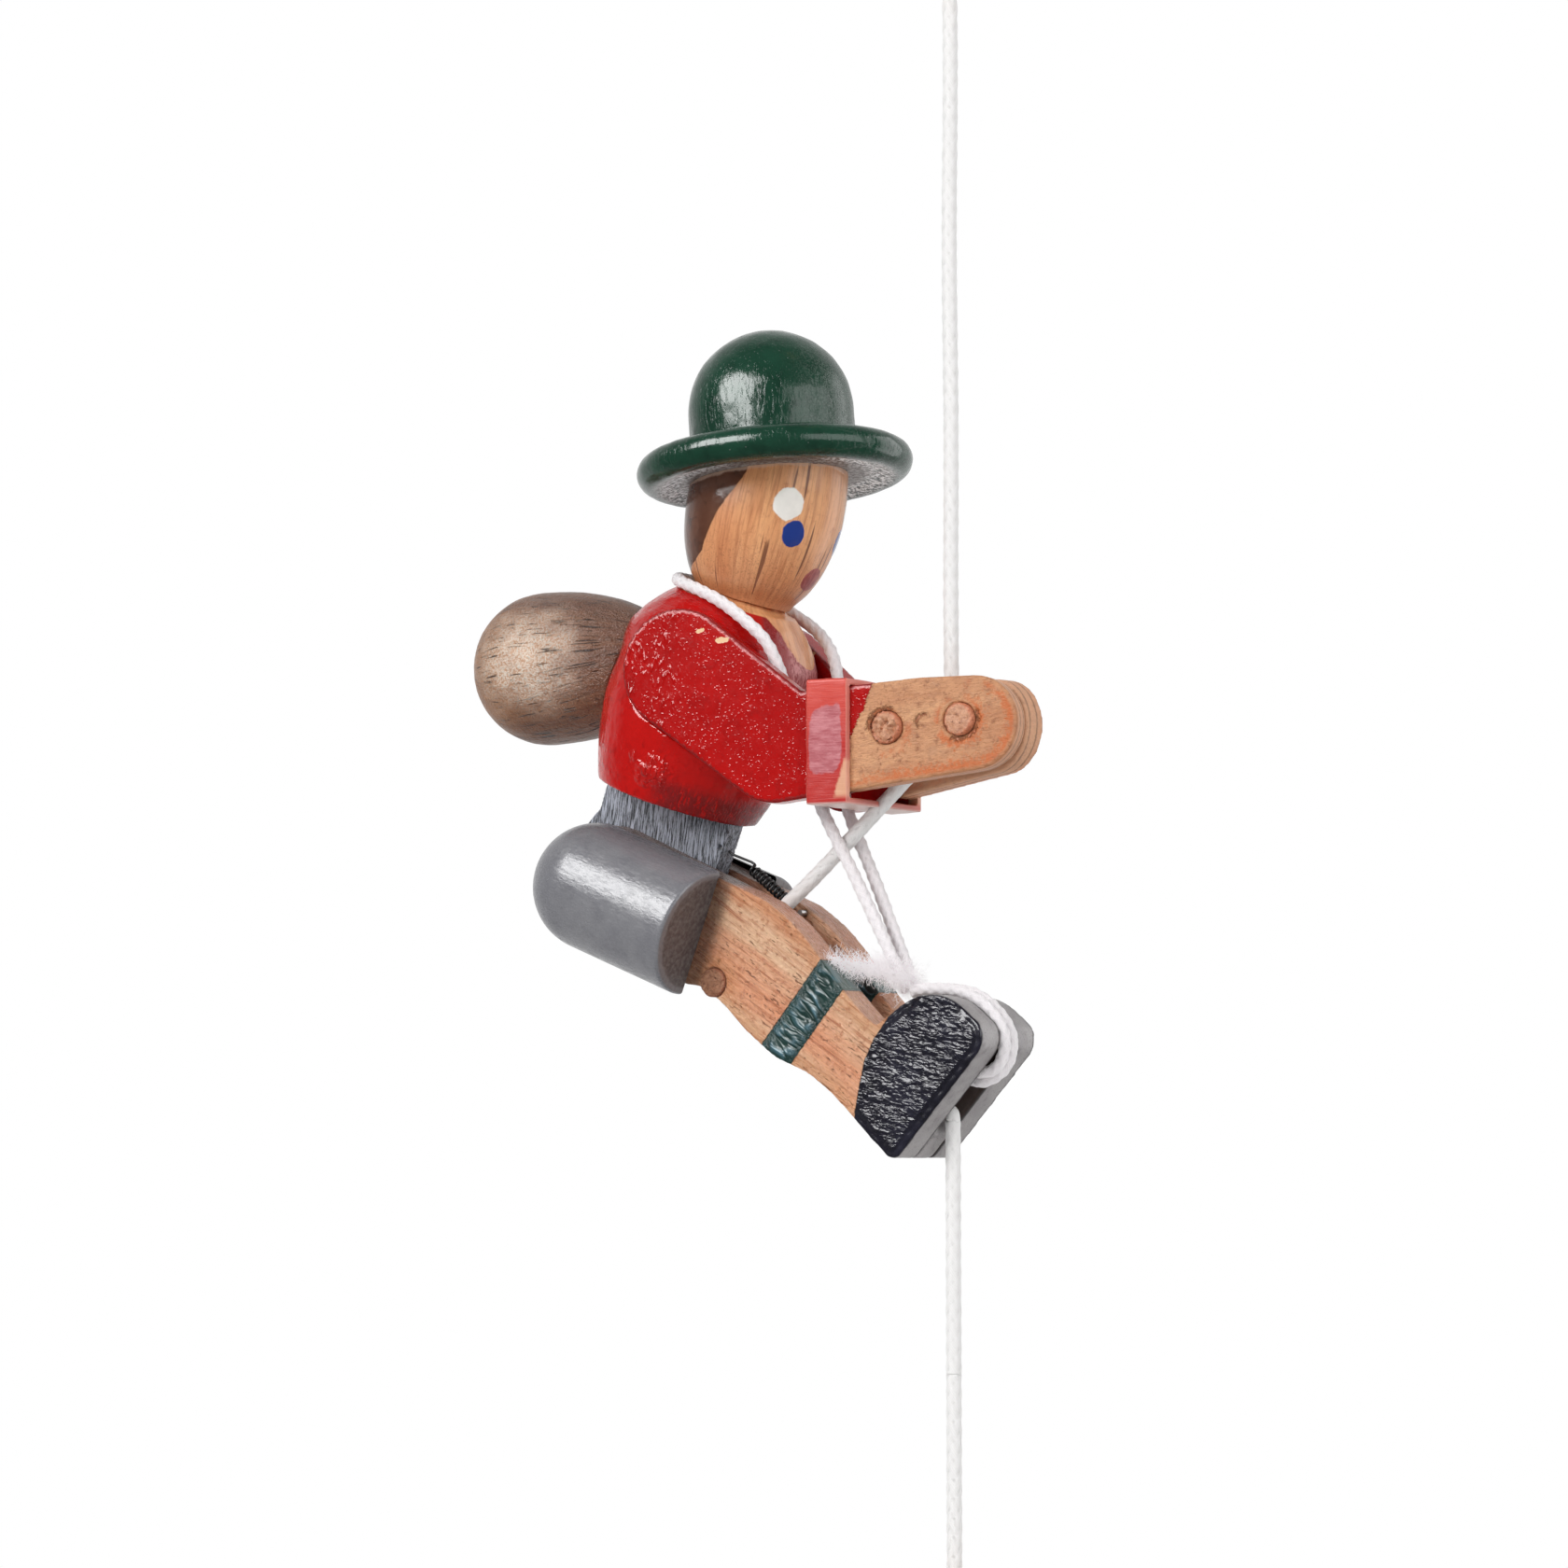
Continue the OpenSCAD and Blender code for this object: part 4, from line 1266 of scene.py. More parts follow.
@dataclass
class Torso:
    """The turned torso: red jacket, open collar and bare neck."""

    length: float = 36.0
    lean: float = 21.0
    collar_turn: float = 15.0
    shoulder_swell: float = 1.6
    side: tuple = ((0.0, 13.4), (0.139, 15.0), (0.361, 16.8), (0.556, 16.5), (0.736, 14.8), (0.861, 11.8),
                   (0.95, 8.6), (1.0, 8.0))
    collar: tuple = ((27.9, -0.1), (28.3, 0.12), (29.2, 0.27), (30.8, 0.4), (32.8, 0.52), (34.4, 0.78),
                     (35.2, 0.95), (35.6, 2.0))

    def frame(self) -> Matrix:
        """The torso's own frame, at the middle of its waist, with its Z up its axis."""
        return standing(-55.4, -10, self.lean)

    def build(self) -> None:
        """Makes and dresses the torso."""
        piece = carved("jacket", "torso", 0.34, 3)
        raised(piece, self.relief)
        fitted(piece, self.material(), "red_paint", Body.TORSO, "torso")

    def relief(self, places: np.ndarray, normals: np.ndarray) -> np.ndarray:
        """Lumps of thick paint and the lathe's shallow rings."""
        local = local_of(places, self.frame())
        rings = np.sin(local[:, 2] * 2.2) * np.clip((local[:, 2] - 16) / 10, 0, 1)
        share, radius = zip(*self.side)
        reach = np.hypot(local[:, 0], local[:, 1])
        outline = np.interp(local[:, 2] / self.length, share, radius)
        turned_face = np.clip(1.6 - np.abs(reach - outline) * 2, 0, 1)
        shoulder = eased((local[:, 2] - 20) / 7) * (1 - eased((local[:, 2] - 33.4) / 2.4))
        swell = shoulder * turned_face * self.shoulder_swell
        return turbulence(local, 0.42, 3, 9.0) * 0.07 + rings * 0.03 + swell

    def material(self) -> bpy.types.Material:
        """Thick red gloss, thin at the collar and the hem, with bare wood at the neck."""
        shader = Shader("jacket_paint")
        place = shader.local(self.frame())
        x, y, z = shader.parts(place)
        red = JACKET_RED.skin(shader, place)
        rings = shader.cloud(shader.stretched(place, 0.12, 0.12, 1), 2.4, 3.0, 0.6)
        red.relief = red.relief + rings * z.above(22.0, 6.0) * 0.16
        away = ((x - 4.6).power(2.0) * 0.7 + (y + 15.6).power(2.0) * 0.7 + (z - 5.0).power(2.0)).power(0.5)
        runs = shader.cloud(shader.stretched(place, 1.5, 1.5, 0.8), 0.75, 1.0, 0.4, 0.8)
        patchy = shader.cloud(place, 0.42, 2.0, 0.5)
        dimpled = (away + (patchy - 0.5) * 8.0).under(2.4, 2.2)
        red.relief = red.relief + runs * dimpled * 1.3 + runs * shader.ramped(patchy, 0.55, 0.75) * 0.12
        streak = shader.cloud(shader.stretched(place, 1, 1, 0.2), 2.4, 3.0, 0.7)
        thin_red = shader.mixed(shader.ramped(streak, 0.38, 0.62), srgb(140, 40, 42), srgb(204, 134, 134))
        turn = math.radians(self.collar_turn)
        ahead = x * math.cos(turn) + y * math.sin(turn)
        aside = abs(y * math.cos(turn) - x * math.sin(turn))
        angle = aside / ahead.most(0.5)
        front = z.above(18.0, 2.0) * ahead.above(0.0, 1.0)
        open_front = Skin(srgb(132, 28, 30), 0.3, streak * 0.08)
        skin = shader.over(angle.under(0.95, 0.1) * front * 0.85, red, open_front)
        placket = (angle + (streak - 0.5) * 0.2).under(0.44, 0.08) * front
        skin = shader.over(placket, skin, Skin(thin_red, 0.4, streak * 0.12))
        hem = z.under(4.4, 1.6) * x.above(5.0, 3.0) * shader.ramped(streak, 0.36, 0.5)
        skin = shader.over(hem * 0.8, skin, Skin(srgb(112, 22, 24), 0.24, streak * 0.22))
        pale = z.under(1.4, 1.2) * x.under(-7.0, 3.0) * shader.ramped(streak, 0.34, 0.6) * 0.6
        skin = shader.over(pale, skin, Skin(srgb(206, 118, 116), 0.4))
        collar = shader.curve(z, 24.0, 36.0, self.collar, 2.0)
        bare = (collar - angle + (streak - 0.5) * 0.1).above(0.0, 0.03) * ahead.above(0.0, 0.6)
        neck = z.above(34.6, 0.12)
        beech = HEAD_BEECH.skin(shader, place, HEAD_ROLL_R)
        skin = shader.over(bare.most(neck), skin, beech)
        chips = shader.grains(place, 0.075).under(0.05, 0.015) * z.above(8.0, 1.0)
        skin = shader.over(chips, skin, Skin(srgb(222, 170, 120), 0.5, -0.1))
        return shader.done(skin, 0.42)


@dataclass
class Backpack:
    """The turned, stained backpack, with a painted highlight and painted light on its golden side."""

    highlight_at: tuple = (-78.6, -12.5, 14.4)
    roll_r: float = 12.0

    def build(self) -> None:
        """Makes and dresses the backpack."""
        piece = carved("backpack_egg", "backpack", 0.36, 4)
        at = standing(-82.7, 14, 86)
        raised(piece, lambda places, _: turbulence(local_of(places, at) * (1, 1, 0.12), 0.6, 3, 5.0) * 0.05)
        shader = Shader("backpack_stain")
        place = shader.local(at)
        skin = PACK_WOOD.skin(shader, place, self.roll_r)
        x, y, z = shader.parts(shader.local(Matrix.Translation(spot(*self.highlight_at))))
        away = distance(x * 0.8, y, z)
        uneven = shader.cloud(place, 0.25, 2.0, 0.5)
        # painted highlight: a pale, speckled golden patch on the side that faces the camera
        painted_highlight = (away + (uneven - 0.5) * 9.0).under(6.0, 7.0)
        speckle = shader.cloud(place, 2.6, 3.0, 0.7)
        glow = shader.mixed(shader.ramped(speckle, 0.35, 0.7), srgb(204, 158, 124), srgb(255, 248, 234))
        # golden on the end away from the torso: partly the stain's own tone, partly painted light on the side
        # the lamp lights
        gold = (x * 0.82 + y * 0.57).under(-3.0, 5.0)
        shader.tint(skin, gold * 0.4, 172, 118, 70)
        skin.colour = shader.mixed(painted_highlight * 0.9, skin.colour, glow)
        shader.tint(skin, shader.ramped(speckle, 0.56, 0.7) * 0.5, 52, 36, 28)
        grooves = shader.stretched(shader.unrolled(place, self.roll_r), 2.3, 2.3, 0.16)
        crack = shader.ramped(shader.cloud(grooves, 1.0, 1.0, 0.4, 0.5), 0.645, 0.68)
        crack = crack * shader.ramped(uneven, 0.42, 0.56)
        shader.tint(skin, crack * 0.85, 38, 24, 18)
        skin.relief = skin.relief + speckle * 0.18 + shader.cloud(place, 1.3, 2.0, 0.5) * 0.3 - crack * 0.4
        skin.rough = 0.3
        fitted(piece, shader.done(skin, 0.4, 0.25), "brown_stain", Body.TORSO, "backpack")


@dataclass
class Arms:
    """The two arm boards, their hand dowels and the rubber band round the wrists."""

    tip_half: float = 4.9
    tip_x: float = 9.6
    splay: float = 12.0
    slope: float = 0.2126
    front: tuple = (4.4, -0.3)
    rear: tuple = (-7.8, -1.1)
    cuff: tuple = ((-12.0, -15.2), (-8.5, -14.7), (-4.0, -14.4), (-1.0, -13.1), (1.9, -11.5), (5.6, -10.2),
                   (8.0, -9.4))

    def build(self) -> None:
        """Makes and dresses the arms, dowels and band."""
        for side in Side:
            node = f"{side.word}_arm"
            piece = carved(f"{node}_board", node, 0.3, 9)
            rim_marked(piece)
            raised(piece, lambda places, _: turbulence(places, 0.4, 2, 3.0) * 0.015)
            fitted(piece, self.material(side), "red_paint", Body.TORSO, node)
        self.dowels()
        self.band()

    def outside(self, x: float) -> float:
        """Half the width over both arms at a place along them."""
        return self.tip_half + (self.tip_x - x) * math.tan(math.radians(self.splay))

    def material(self, side: Side) -> bpy.types.Material:
        """Red sleeve and bare hand."""
        shader = Shader(f"{side.word}_sleeve_and_hand")
        place = shader.local(FIGURE)
        x, y, z = shader.parts(place)
        grain = shader.local(standing(0, 0, 84))
        rim = shader.attribute("rim")
        fine = shader.cloud(place, 1.5, 4.0, 0.65)
        hand = HAND_BEECH.skin(shader, grain)
        outer = (y * side.value).above(3.6, 0.6)
        drifts = shader.cloud(place, 0.3, 3.0, 0.6)
        stain = (rim + (fine - 0.5) * 6.0).under(1.5, 0.8) * rim.above(0.5, 0.3) * outer
        stain = stain * (x * 0.3 - z * 0.5 + (drifts - 0.5) * 12.0).above(0.6, 1.2)
        shader.tint(hand, stain * 0.85, 200, 100, 38)
        shader.tint(hand, shader.ramped(drifts, 0.5, 0.72) * 0.3, 150, 108, 84)
        depth = y * side.value - (self.tip_x - x) * self.slope - self.tip_half
        edge = 1.0 - abs(depth).under(0.45, 0.2)
        shader.tint(hand, edge * 0.55, 226, 176, 144)
        for layer in (-1.5, -3.1):
            seam = (abs(depth - layer) + (fine - 0.5) * 0.5).under(0.16, 0.12)
            shader.tint(hand, seam * 0.6, 112, 72, 48)
        for at, wide, lean_x, lean_z, start in (
            (self.front, 3.1, 0.9, -0.9, 1.4),
            (self.rear, 2.9, -0.6, 0.9, 1.6),
            ((-1.4, -0.5), 1.1, -0.9, 0.6, 0.2),
        ):
            gone = distance(x - at[0], z - at[1])
            side_of = ((x - at[0]) * lean_x + (z - at[1]) * lean_z + (drifts - 0.5) * 3.0).above(start, 0.5)
            torn = (abs(gone - wide) + (fine - 0.5) * 2.2).under(0.26, 0.3) * outer * side_of
            hand = shader.over(torn * 0.75, hand, Skin(srgb(162, 84, 46), 0.5, -0.4))
        red = SLEEVE_RED.skin(shader, place)
        sown = shader.cloud(place, 0.35, 2.0, 0.6)
        large, small = (shader.grains(place, scale).under(0.16, 0.12) for scale in (1.25, 1.9))
        pimples = (large + small * 0.6) * (shader.ramped(sown, 0.3, 0.55) * 0.026 + 0.006)
        thick = shader.ramped(sown * 0.5 - (x + 43.0) * 0.05, 0.2, 0.5)
        runs = shader.cloud(shader.stretched(place, 1.2, 1.0, 0.55), 0.9, 1.0, 0.4, 0.5)
        red.relief = red.relief + pimples + shader.ramped(runs, 0.5, 0.8) * thick * 0.2
        worn = (rim + (fine - 0.5) * 1.4).under(0.35, 0.2)
        red.rough = worn * 0.3 + red.rough
        shader.tint(red, worn * 0.7, 120, 8, 9)
        cuff = shader.curve(z, -12.0, 8.0, self.cuff, 20.0)
        brushed = shader.cloud(shader.stretched(place, 0.5, 1, 2.2), 1.0, 3.0, 0.6)
        sleeve = (cuff - x + (brushed - 0.5) * 1.6).above(0.0, 0.12)
        skin = shader.over(sleeve, hand, red)
        for at, turn, wide, tall in (((-35.8, 14.3), 0.1, 1.2, 0.5), ((-39.6, 16.0), 0.3, 0.8, 0.34)):
            along = (x - at[0]) * math.cos(turn) + (z - at[1]) * math.sin(turn)
            aside = (z - at[1]) * math.cos(turn) - (x - at[0]) * math.sin(turn)
            oval = (along / wide).power(2.0) + (aside / tall).power(2.0)
            chip = (oval + (fine - 0.5) * 3.0).under(1.0, 0.2) * outer
            skin = shader.over(chip, skin, Skin(srgb(224, 184, 138), 0.5))
        return shader.done(skin, 0.32)

    def dowels(self) -> None:
        """The two hand dowels, with worn, slightly broken ends."""
        for name, node, at, body in (
            ("front_hand_dowel", "guard_peg", self.front, Body.TORSO),
            ("rear_hand_dowel", "grip_peg", self.rear, Body.GRIP),
        ):
            half = self.outside(at[0]) + 0.45
            piece = dowel(name, at, 2.65, half, 0.45 if body is Body.TORSO else 1.1)
            fitted(piece, end_grain(f"{name}_wood", at), "plain_wood", body, node)

    def band(self) -> None:
        """The rubber band, worn through its red print."""
        piece = carved("rubber_band", "wrist_band", 0.22, 9)
        raised(piece, lambda places, _: turbulence(places, 0.25, 2, 8.0) * 0.06)
        shader = Shader("worn_rubber")
        place = shader.local(Matrix.Translation(spot(-17.2, 0, -3.4)))
        x, y, z = shader.parts(place)
        fine = shader.cloud(shader.stretched(place, 0.6, 0.6, 1.8), 0.9, 3.0, 0.6)
        ragged = (fine - 0.5) * 2.6
        lines = shader.cloud(shader.stretched(place, 0.15, 0.15, 3.0), 1.6, 2.0)
        red = shader.mixed(z.above(3.5, 5.0), srgb(176, 30, 26), srgb(204, 70, 58))
        skin = Skin(red, fine * 0.1 + 0.3, lines * 0.03)
        shader.tint(skin, shader.ramped(lines, 0.35, 0.7) * 0.6, 190, 50, 42)
        blot = (shader.cloud(place, 0.5, 3.0, 0.6) - 0.5) * 1.6
        oval = ((x + 0.1) / 2.75).power(4.0) + ((z + x * -0.25 - 0.6) / 5.4).power(4.0)
        patch = (oval + blot).under(1.0, 0.2) * abs(y).above(6.0, 1.0)
        mauve = shader.mixed(shader.ramped(fine, 0.35, 0.7), srgb(168, 86, 94), srgb(194, 122, 128))
        skin.colour = shader.mixed(patch * 0.92, skin.colour, mauve)
        low = (z + ragged * 0.4).under(-2.6, 0.6) * z.above(-8.6, 0.6)
        cream = (x - z * 0.3 + blot).above(3.8, 0.25) * low
        shader.tint(skin, cream * 0.85, 218, 168, 134)
        shader.tint(skin, z.under(-9.6, 0.3) * 0.9, 230, 212, 204)
        shader.tint(skin, abs(x).above(3.3, 0.08) * 0.45, 222, 160, 146)
        fitted(piece, shader.done(skin, 0.2, 0.15), "pink_rubber", Body.TORSO, "wrist_band")


def dowel(name: str, at: Pair, radius: float, half: float, chip: float) -> bpy.types.Object:
    """A dowel across the figure with eased, slightly broken ends.

    Args:
        name: the piece's name.
        at: its x and z on the figure.
        radius: its radius, in mm.
        half: half its length, in mm.
        chip: how deep its ends are broken, in mm.

    Returns:
        The piece.
    """
    ease = 0.3
    low = [(0, -half), (radius - ease, -half), (radius, -half + ease)]
    ends = [*low, *((r, -z) for r, z in reversed(low))]
    piece = turned(name, stepped(ends, 0.35), 40, lying(at))

    def broken(places: np.ndarray, normals: np.ndarray) -> np.ndarray:
        """Dents in the two end faces only."""
        end = np.clip((np.abs(places[:, 1]) - half + 0.8) / 0.8, 0, 1)
        return -np.clip(turbulence(places, 0.9, 3, radius) + 0.1, 0, 1) * chip * end

    raised(piece, broken)
    smooth(piece, 50)
    return piece


def end_grain(name: str, at: Pair, stain: float = 0.0) -> bpy.types.Material:
    """Dowel wood, with rings and a stained rim on its end faces.

    Args:
        name: the material's name.
        at: the dowel's place.
        stain: how much darker than fresh wood it is.

    Returns:
        The material.
    """
    shader = Shader(name)
    place = shader.local(lying(at))
    x, y, _ = shader.parts(place)
    skin = PEG_BEECH.skin(shader, place)
    reach = distance(x, y)
    fine = shader.cloud(place, 2.0, 3.0, 0.6)
    rim = (reach + (fine - 0.5) * 1.2).above(2.25, 0.4)
    shader.tint(skin, rim * 0.6, 196, 104, 72)
    shader.tint(skin, shader.ramped((reach * 7.0 + fine * 3.0).sine(), 0.4, 1.0) * 0.25, 172, 112, 84)
    shader.tint(skin, fine * stain, 96, 48, 26)
    skin.relief = skin.relief + fine * (stain + 0.2)
    return shader.done(skin, 0.4)


# Hips and legs


@dataclass
class Legs:
    """The leg boards with painted socks and boots, the shorts, pegs, heel block and spring."""

    leg_t: float = 5.9
    slot_w: float = 4.4
    thigh_at: tuple = (-42.0, -41.1)
    boot_at: tuple = (1.2, -47.3)
    boot: tuple = ((-70.0, -14.9), (-62.0, -14.1), (-58.6, -13.4), (-54.2, -12.3), (-50.8, -10.5),
                   (-47.1, -7.5), (-44.0, -4.0), (-42.0, 0.0))

    @property
    def half(self) -> float:
        """Half the width over both leg boards."""
        return self.slot_w / 2 + self.leg_t

    def build(self) -> None:
        """Makes and dresses all of the hips and legs."""
        for side in Side:
            node = f"{side.word}_leg"
            piece = carved(f"{node}_board", node, 0.3, 6)
            rim_marked(piece)
            raised(piece, self.relief)
            fitted(piece, self.material(side), "leg_wood", Body.LEGS, node)
            self.shorts(side)
        self.tongue()
        for name, node, at, radius, half in (
            ("thigh_dowel", "thigh_peg", self.thigh_at, 2.4, self.half + 0.6),
            ("boot_dowel", "boot_peg", self.boot_at, 1.9, self.half - 0.1),
        ):
            piece = dowel(name, at, radius, half, 0.2)
            painted = self.painted_end() if node == "boot_peg" else end_grain(f"{name}_wood", at, 0.8)
            fitted(piece, painted, "plain_wood", Body.LEGS, node)
        self.heel()
        self.spring()

    def painted_end(self) -> bpy.types.Material:
        """The boot dowel's wood, with its ends under the boots' black paint."""
        shader = Shader("boot_dowel_paint")
        place = shader.local(FIGURE)
        _, y, _ = shader.parts(place)
        black = BOOT_BLACK.skin(shader, place)
        black.relief = self.wrinkles(shader)
        wood = PEG_BEECH.skin(shader, place)
        return shader.done(shader.over(abs(y).above(self.half - 1.5, 0.1), wood, black), 0.5)

    def boot_mask(self, places: np.ndarray) -> np.ndarray:
        """1 on the boots, 0 on the legs."""
        z, edge = zip(*self.boot)
        line = np.interp(places[:, 2] + GRIP_DROP, z, edge)
        return np.clip((places[:, 0] - CORD_BACK - line) * 2, 0, 1)

    def relief(self, places: np.ndarray, normals: np.ndarray) -> np.ndarray:
        """Crinkled paint on the boots' outer faces, faint grain on the wood."""
        outer = np.clip((np.abs(normals[:, 1]) - 0.6) * 4, 0, 1) * (np.abs(places[:, 1]) > self.half - 1)
        crinkle = np.abs(turbulence(places * (1, 1, 1.3), 0.5, 2, 1.0)) * 0.2 - 0.06
        grain = turbulence(local_of(places, standing(0, 0, 128)) * (1, 1, 0.15), 0.9, 2, 6.0) * 0.03
        boots = self.boot_mask(places) * outer
        return crinkle * boots + grain * (1 - boots)

    def material(self, side: Side) -> bpy.types.Material:
        """Bare leg with a painted shadow by the shorts, green sock band with a painted sheen, and black boot
        with a grey sole and rim.
        """
        shader = Shader(f"{side.word}_leg_paint")
        place = shader.local(FIGURE)
        x, y, z = shader.parts(place)
        rim = shader.attribute("rim")
        fine = shader.cloud(place, 1.6, 4.0, 0.65)
        ragged = (fine - 0.5) * 0.9
        skin = LEG_BEECH.skin(shader, shader.local(standing(0, 0, 122.5)))
        glow = rim.under(2.2, 1.6) * abs(y).above(self.half - 0.5, 0.3) * 0.35
        shader.tint(skin, glow, 216, 142, 86)
        edge_face = abs(y).under(self.half - 0.35, 0.2) * abs(y).above(self.slot_w / 2 + 0.25, 0.2)
        shader.tint(skin, edge_face * 0.55, 196, 138, 112)
        spray = (x * 0.93 - z * 0.37 + ragged * 3.0).under(-26.4, 3.2)
        shader.tint(skin, spray * edge_face * 0.8, 176, 166, 160)
        shadow = (x * 0.93 - z * 0.37 + ragged * 2.0).under(-26.2, 1.5) * 0.75
        shader.tint(skin, shadow, 92, 66, 54)
        across = x * 0.757 - z * 0.653
        sock = (across + ragged * 0.7).above(9.0, 0.1) * (across + ragged * 0.7).under(15.55, 0.1)
        green = SOCK_GREEN.skin(shader, place)
        strokes = shader.stretched(shader.local(standing(0, 0, 131)), 1, 1, 0.4)
        bristle = shader.cloud(strokes, 0.62, 2.0, 0.4, 0.9)
        # painted sheen: pale blue-grey streaks along the middle of the sock band, which also has more relief
        # and roughness there
        middle = (abs(across - 12.3) + ragged * 1.5).under(2.6, 1.0)
        shader.tint(green, shader.ramped(bristle, 0.45, 0.75) * middle * 0.7, 92, 132, 148)
        green.relief = bristle * (middle * 0.75 + 0.15)
        green.rough = middle * 0.12 + 0.22
        shader.tint(green, edge_face * 0.6, 120, 132, 126)
        skin = shader.over(sock, skin, green)
        boot_line = shader.curve(z, -70.0, -42.0, self.boot, 20.0)
        boot = (x - boot_line + ragged * 0.6).above(0.0, 0.08)
        black = BOOT_BLACK.skin(shader, place)
        wrinkles = self.wrinkles(shader)
        peg = distance(x - self.boot_at[0], z - self.boot_at[1])
        plain = rim.under(1.2, 0.5) * peg.above(4.4, 0.6)
        black.relief = wrinkles * (1.0 - plain) - abs(peg - 1.0).under(0.12, 0.1) * 0.15
        grey = self.speckled_grey(shader, place)
        line = (rim + ragged * 0.3).under(0.5, 0.22) * 0.9
        shader.tint(grey, line, 40, 36, 38)
        inside = abs(y).under(self.slot_w / 2 + 0.2, 0.15)
        shader.tint(grey, inside * 0.9, 58, 42, 36)
        outer = abs(y).above(self.half - 0.42, 0.12)
        skin = shader.over(boot, skin, shader.over(outer, grey, black))
        if side is Side.LEFT:
            # a dark spot with a shallow dent stands for a hole in the slot: painted shade
            hole = distance(x + 17.7, z + 41.6)
            hole_shade = inside * hole.under(1.5, 0.15)
            skin = shader.over(hole_shade, skin, Skin(srgb(30, 34, 30), 0.4, -0.3))
        return shader.done(skin, 0.5)

    def speckled_grey(self, shader: Shader, place: Value) -> Skin:
        """The soles' and the heel block's grey."""
        grey = SOLE_GREY.skin(shader, place)
        dots = shader.cloud(place, 4.5, 2.0, 0.6)
        shader.tint(grey, shader.ramped(dots, 0.6, 0.68) * 0.7, 84, 78, 80)
        return grey

    def wrinkles(self, shader: Shader) -> Value:
        """The crinkled relief of the boots' thick paint."""
        skewed = shader.stretched(shader.local(standing(0, 0, 8)), 0.5, 1, 1.3)
        fine = shader.cloud(skewed, 1.1, 1.6, 0.45, 1.1)
        broad = shader.cloud(skewed, 0.3, 1.0, 0.5, 0.6)
        return fine * 0.32 + broad * 0.45

    def shorts(self, side: Side) -> None:
        """One half-bullet of the shorts, with painted shade and a painted highlight on its end face."""
        radius, length = 10.8, 23.0
        at = Matrix.Translation(Vector((0, side.value * (self.half + 0.03), 0))) @ standing(-66, -24.6, 111.5)
        ease = [(radius, length - 0.7), *bow((radius - 0.7, length - 0.7), 0.7, 0, 90, 4), (0, length)]
        profile = stepped([*bow((0, 0), radius, -90, 0, 26), *ease], 0.7)
        profile[0] = (0, profile[0][1])
        piece = turned(f"{side.word}_shorts_turning", profile, 150, at)
        halved(piece, at.translation, Vector((0, -side.value, 0)))
        applied(piece, "BEVEL", width=0.28 * MM, segments=3, limit_method="ANGLE",
                angle_limit=math.radians(50))
        smooth(piece, 40)
        shader = Shader(f"{side.word}_shorts_lacquer")
        place = shader.local(at)
        x, y, z = shader.parts(place)
        skin = SHORTS_GREY.skin(shader, place)
        fine = shader.cloud(place, 1.4, 3.0, 0.6)
        end = z.above(length - 0.12, 0.06)
        reach = distance(x, y)
        # painted shade: the end face is a darker brown-grey, with the leg's brown reflected in it; its
        # lighter rim is a painted highlight where the edge rounds over
        brown = shader.mixed(shader.ramped(fine, 0.35, 0.7), srgb(76, 66, 64), srgb(104, 96, 94))
        cut = Skin(brown, 0.4, fine * 0.05, 0.1)
        shader.tint(cut, reach.above(radius - 1.3, 0.3) * 0.5, 128, 122, 124)
        skin = shader.over(end, skin, cut)
        brushed = shader.cloud(shader.stretched(place, 1, 1, 0.15), 1.3, 3.0, 0.6)
        dull = shader.ramped(shader.cloud(shader.stretched(place, 1, 1, 0.4), 1.6, 4.0, 0.75), 0.4, 0.7)
        pits = shader.cloud(shader.stretched(place, 1, 1, 0.5), 2.2, 2.0, 0.6)
        skin.relief = skin.relief + brushed * 0.05 + pits * 0.035
        skin.rough = dull * 0.24 + skin.rough
        fitted(piece, shader.done(skin, 0.5, 0.16), "grey_lacquer", Body.LEGS, f"{side.word}_shorts")

    def tongue(self) -> None:
        """The flat hip tongue, brushed with dark paint."""
        piece = carved("hip_board", "hip_tongue", 0.24, 3)
        rim_marked(piece)
        shader = Shader("hip_brushed_grey")
        place = shader.local(standing(-58, -10, 8))
        skin = TONGUE_GREY.skin(shader, place)
        strokes = shader.cloud(shader.stretched(place, 1, 1, 0.06), 4.2, 4.0, 0.8, 0.3)
        skin.colour = shader.mixed(shader.ramped(strokes, 0.43, 0.57), srgb(30, 33, 40), srgb(188, 194, 208))
        skin.relief = strokes * 0.22
        skin.rough = 0.36
        fitted(piece, shader.done(skin, 0.5), "dark_grey_paint", Body.TORSO, "hip_tongue")

    def heel(self) -> None:
        """The block that closes the slot at the heels."""
        piece = carved("heel_fill", "heel_block", 0.25, 2)
        shader = Shader("heel_grey")
        place = shader.local(FIGURE)
        x, _, z = shader.parts(place)
        skin = self.speckled_grey(shader, place)
        shader.tint(skin, z.above(-62.4, 0.3) * x.above(-12.0, 1.0), 64, 46, 38)
        fitted(piece, shader.done(skin, 0.4), "dark_grey_paint", Body.LEGS, "heel_block")

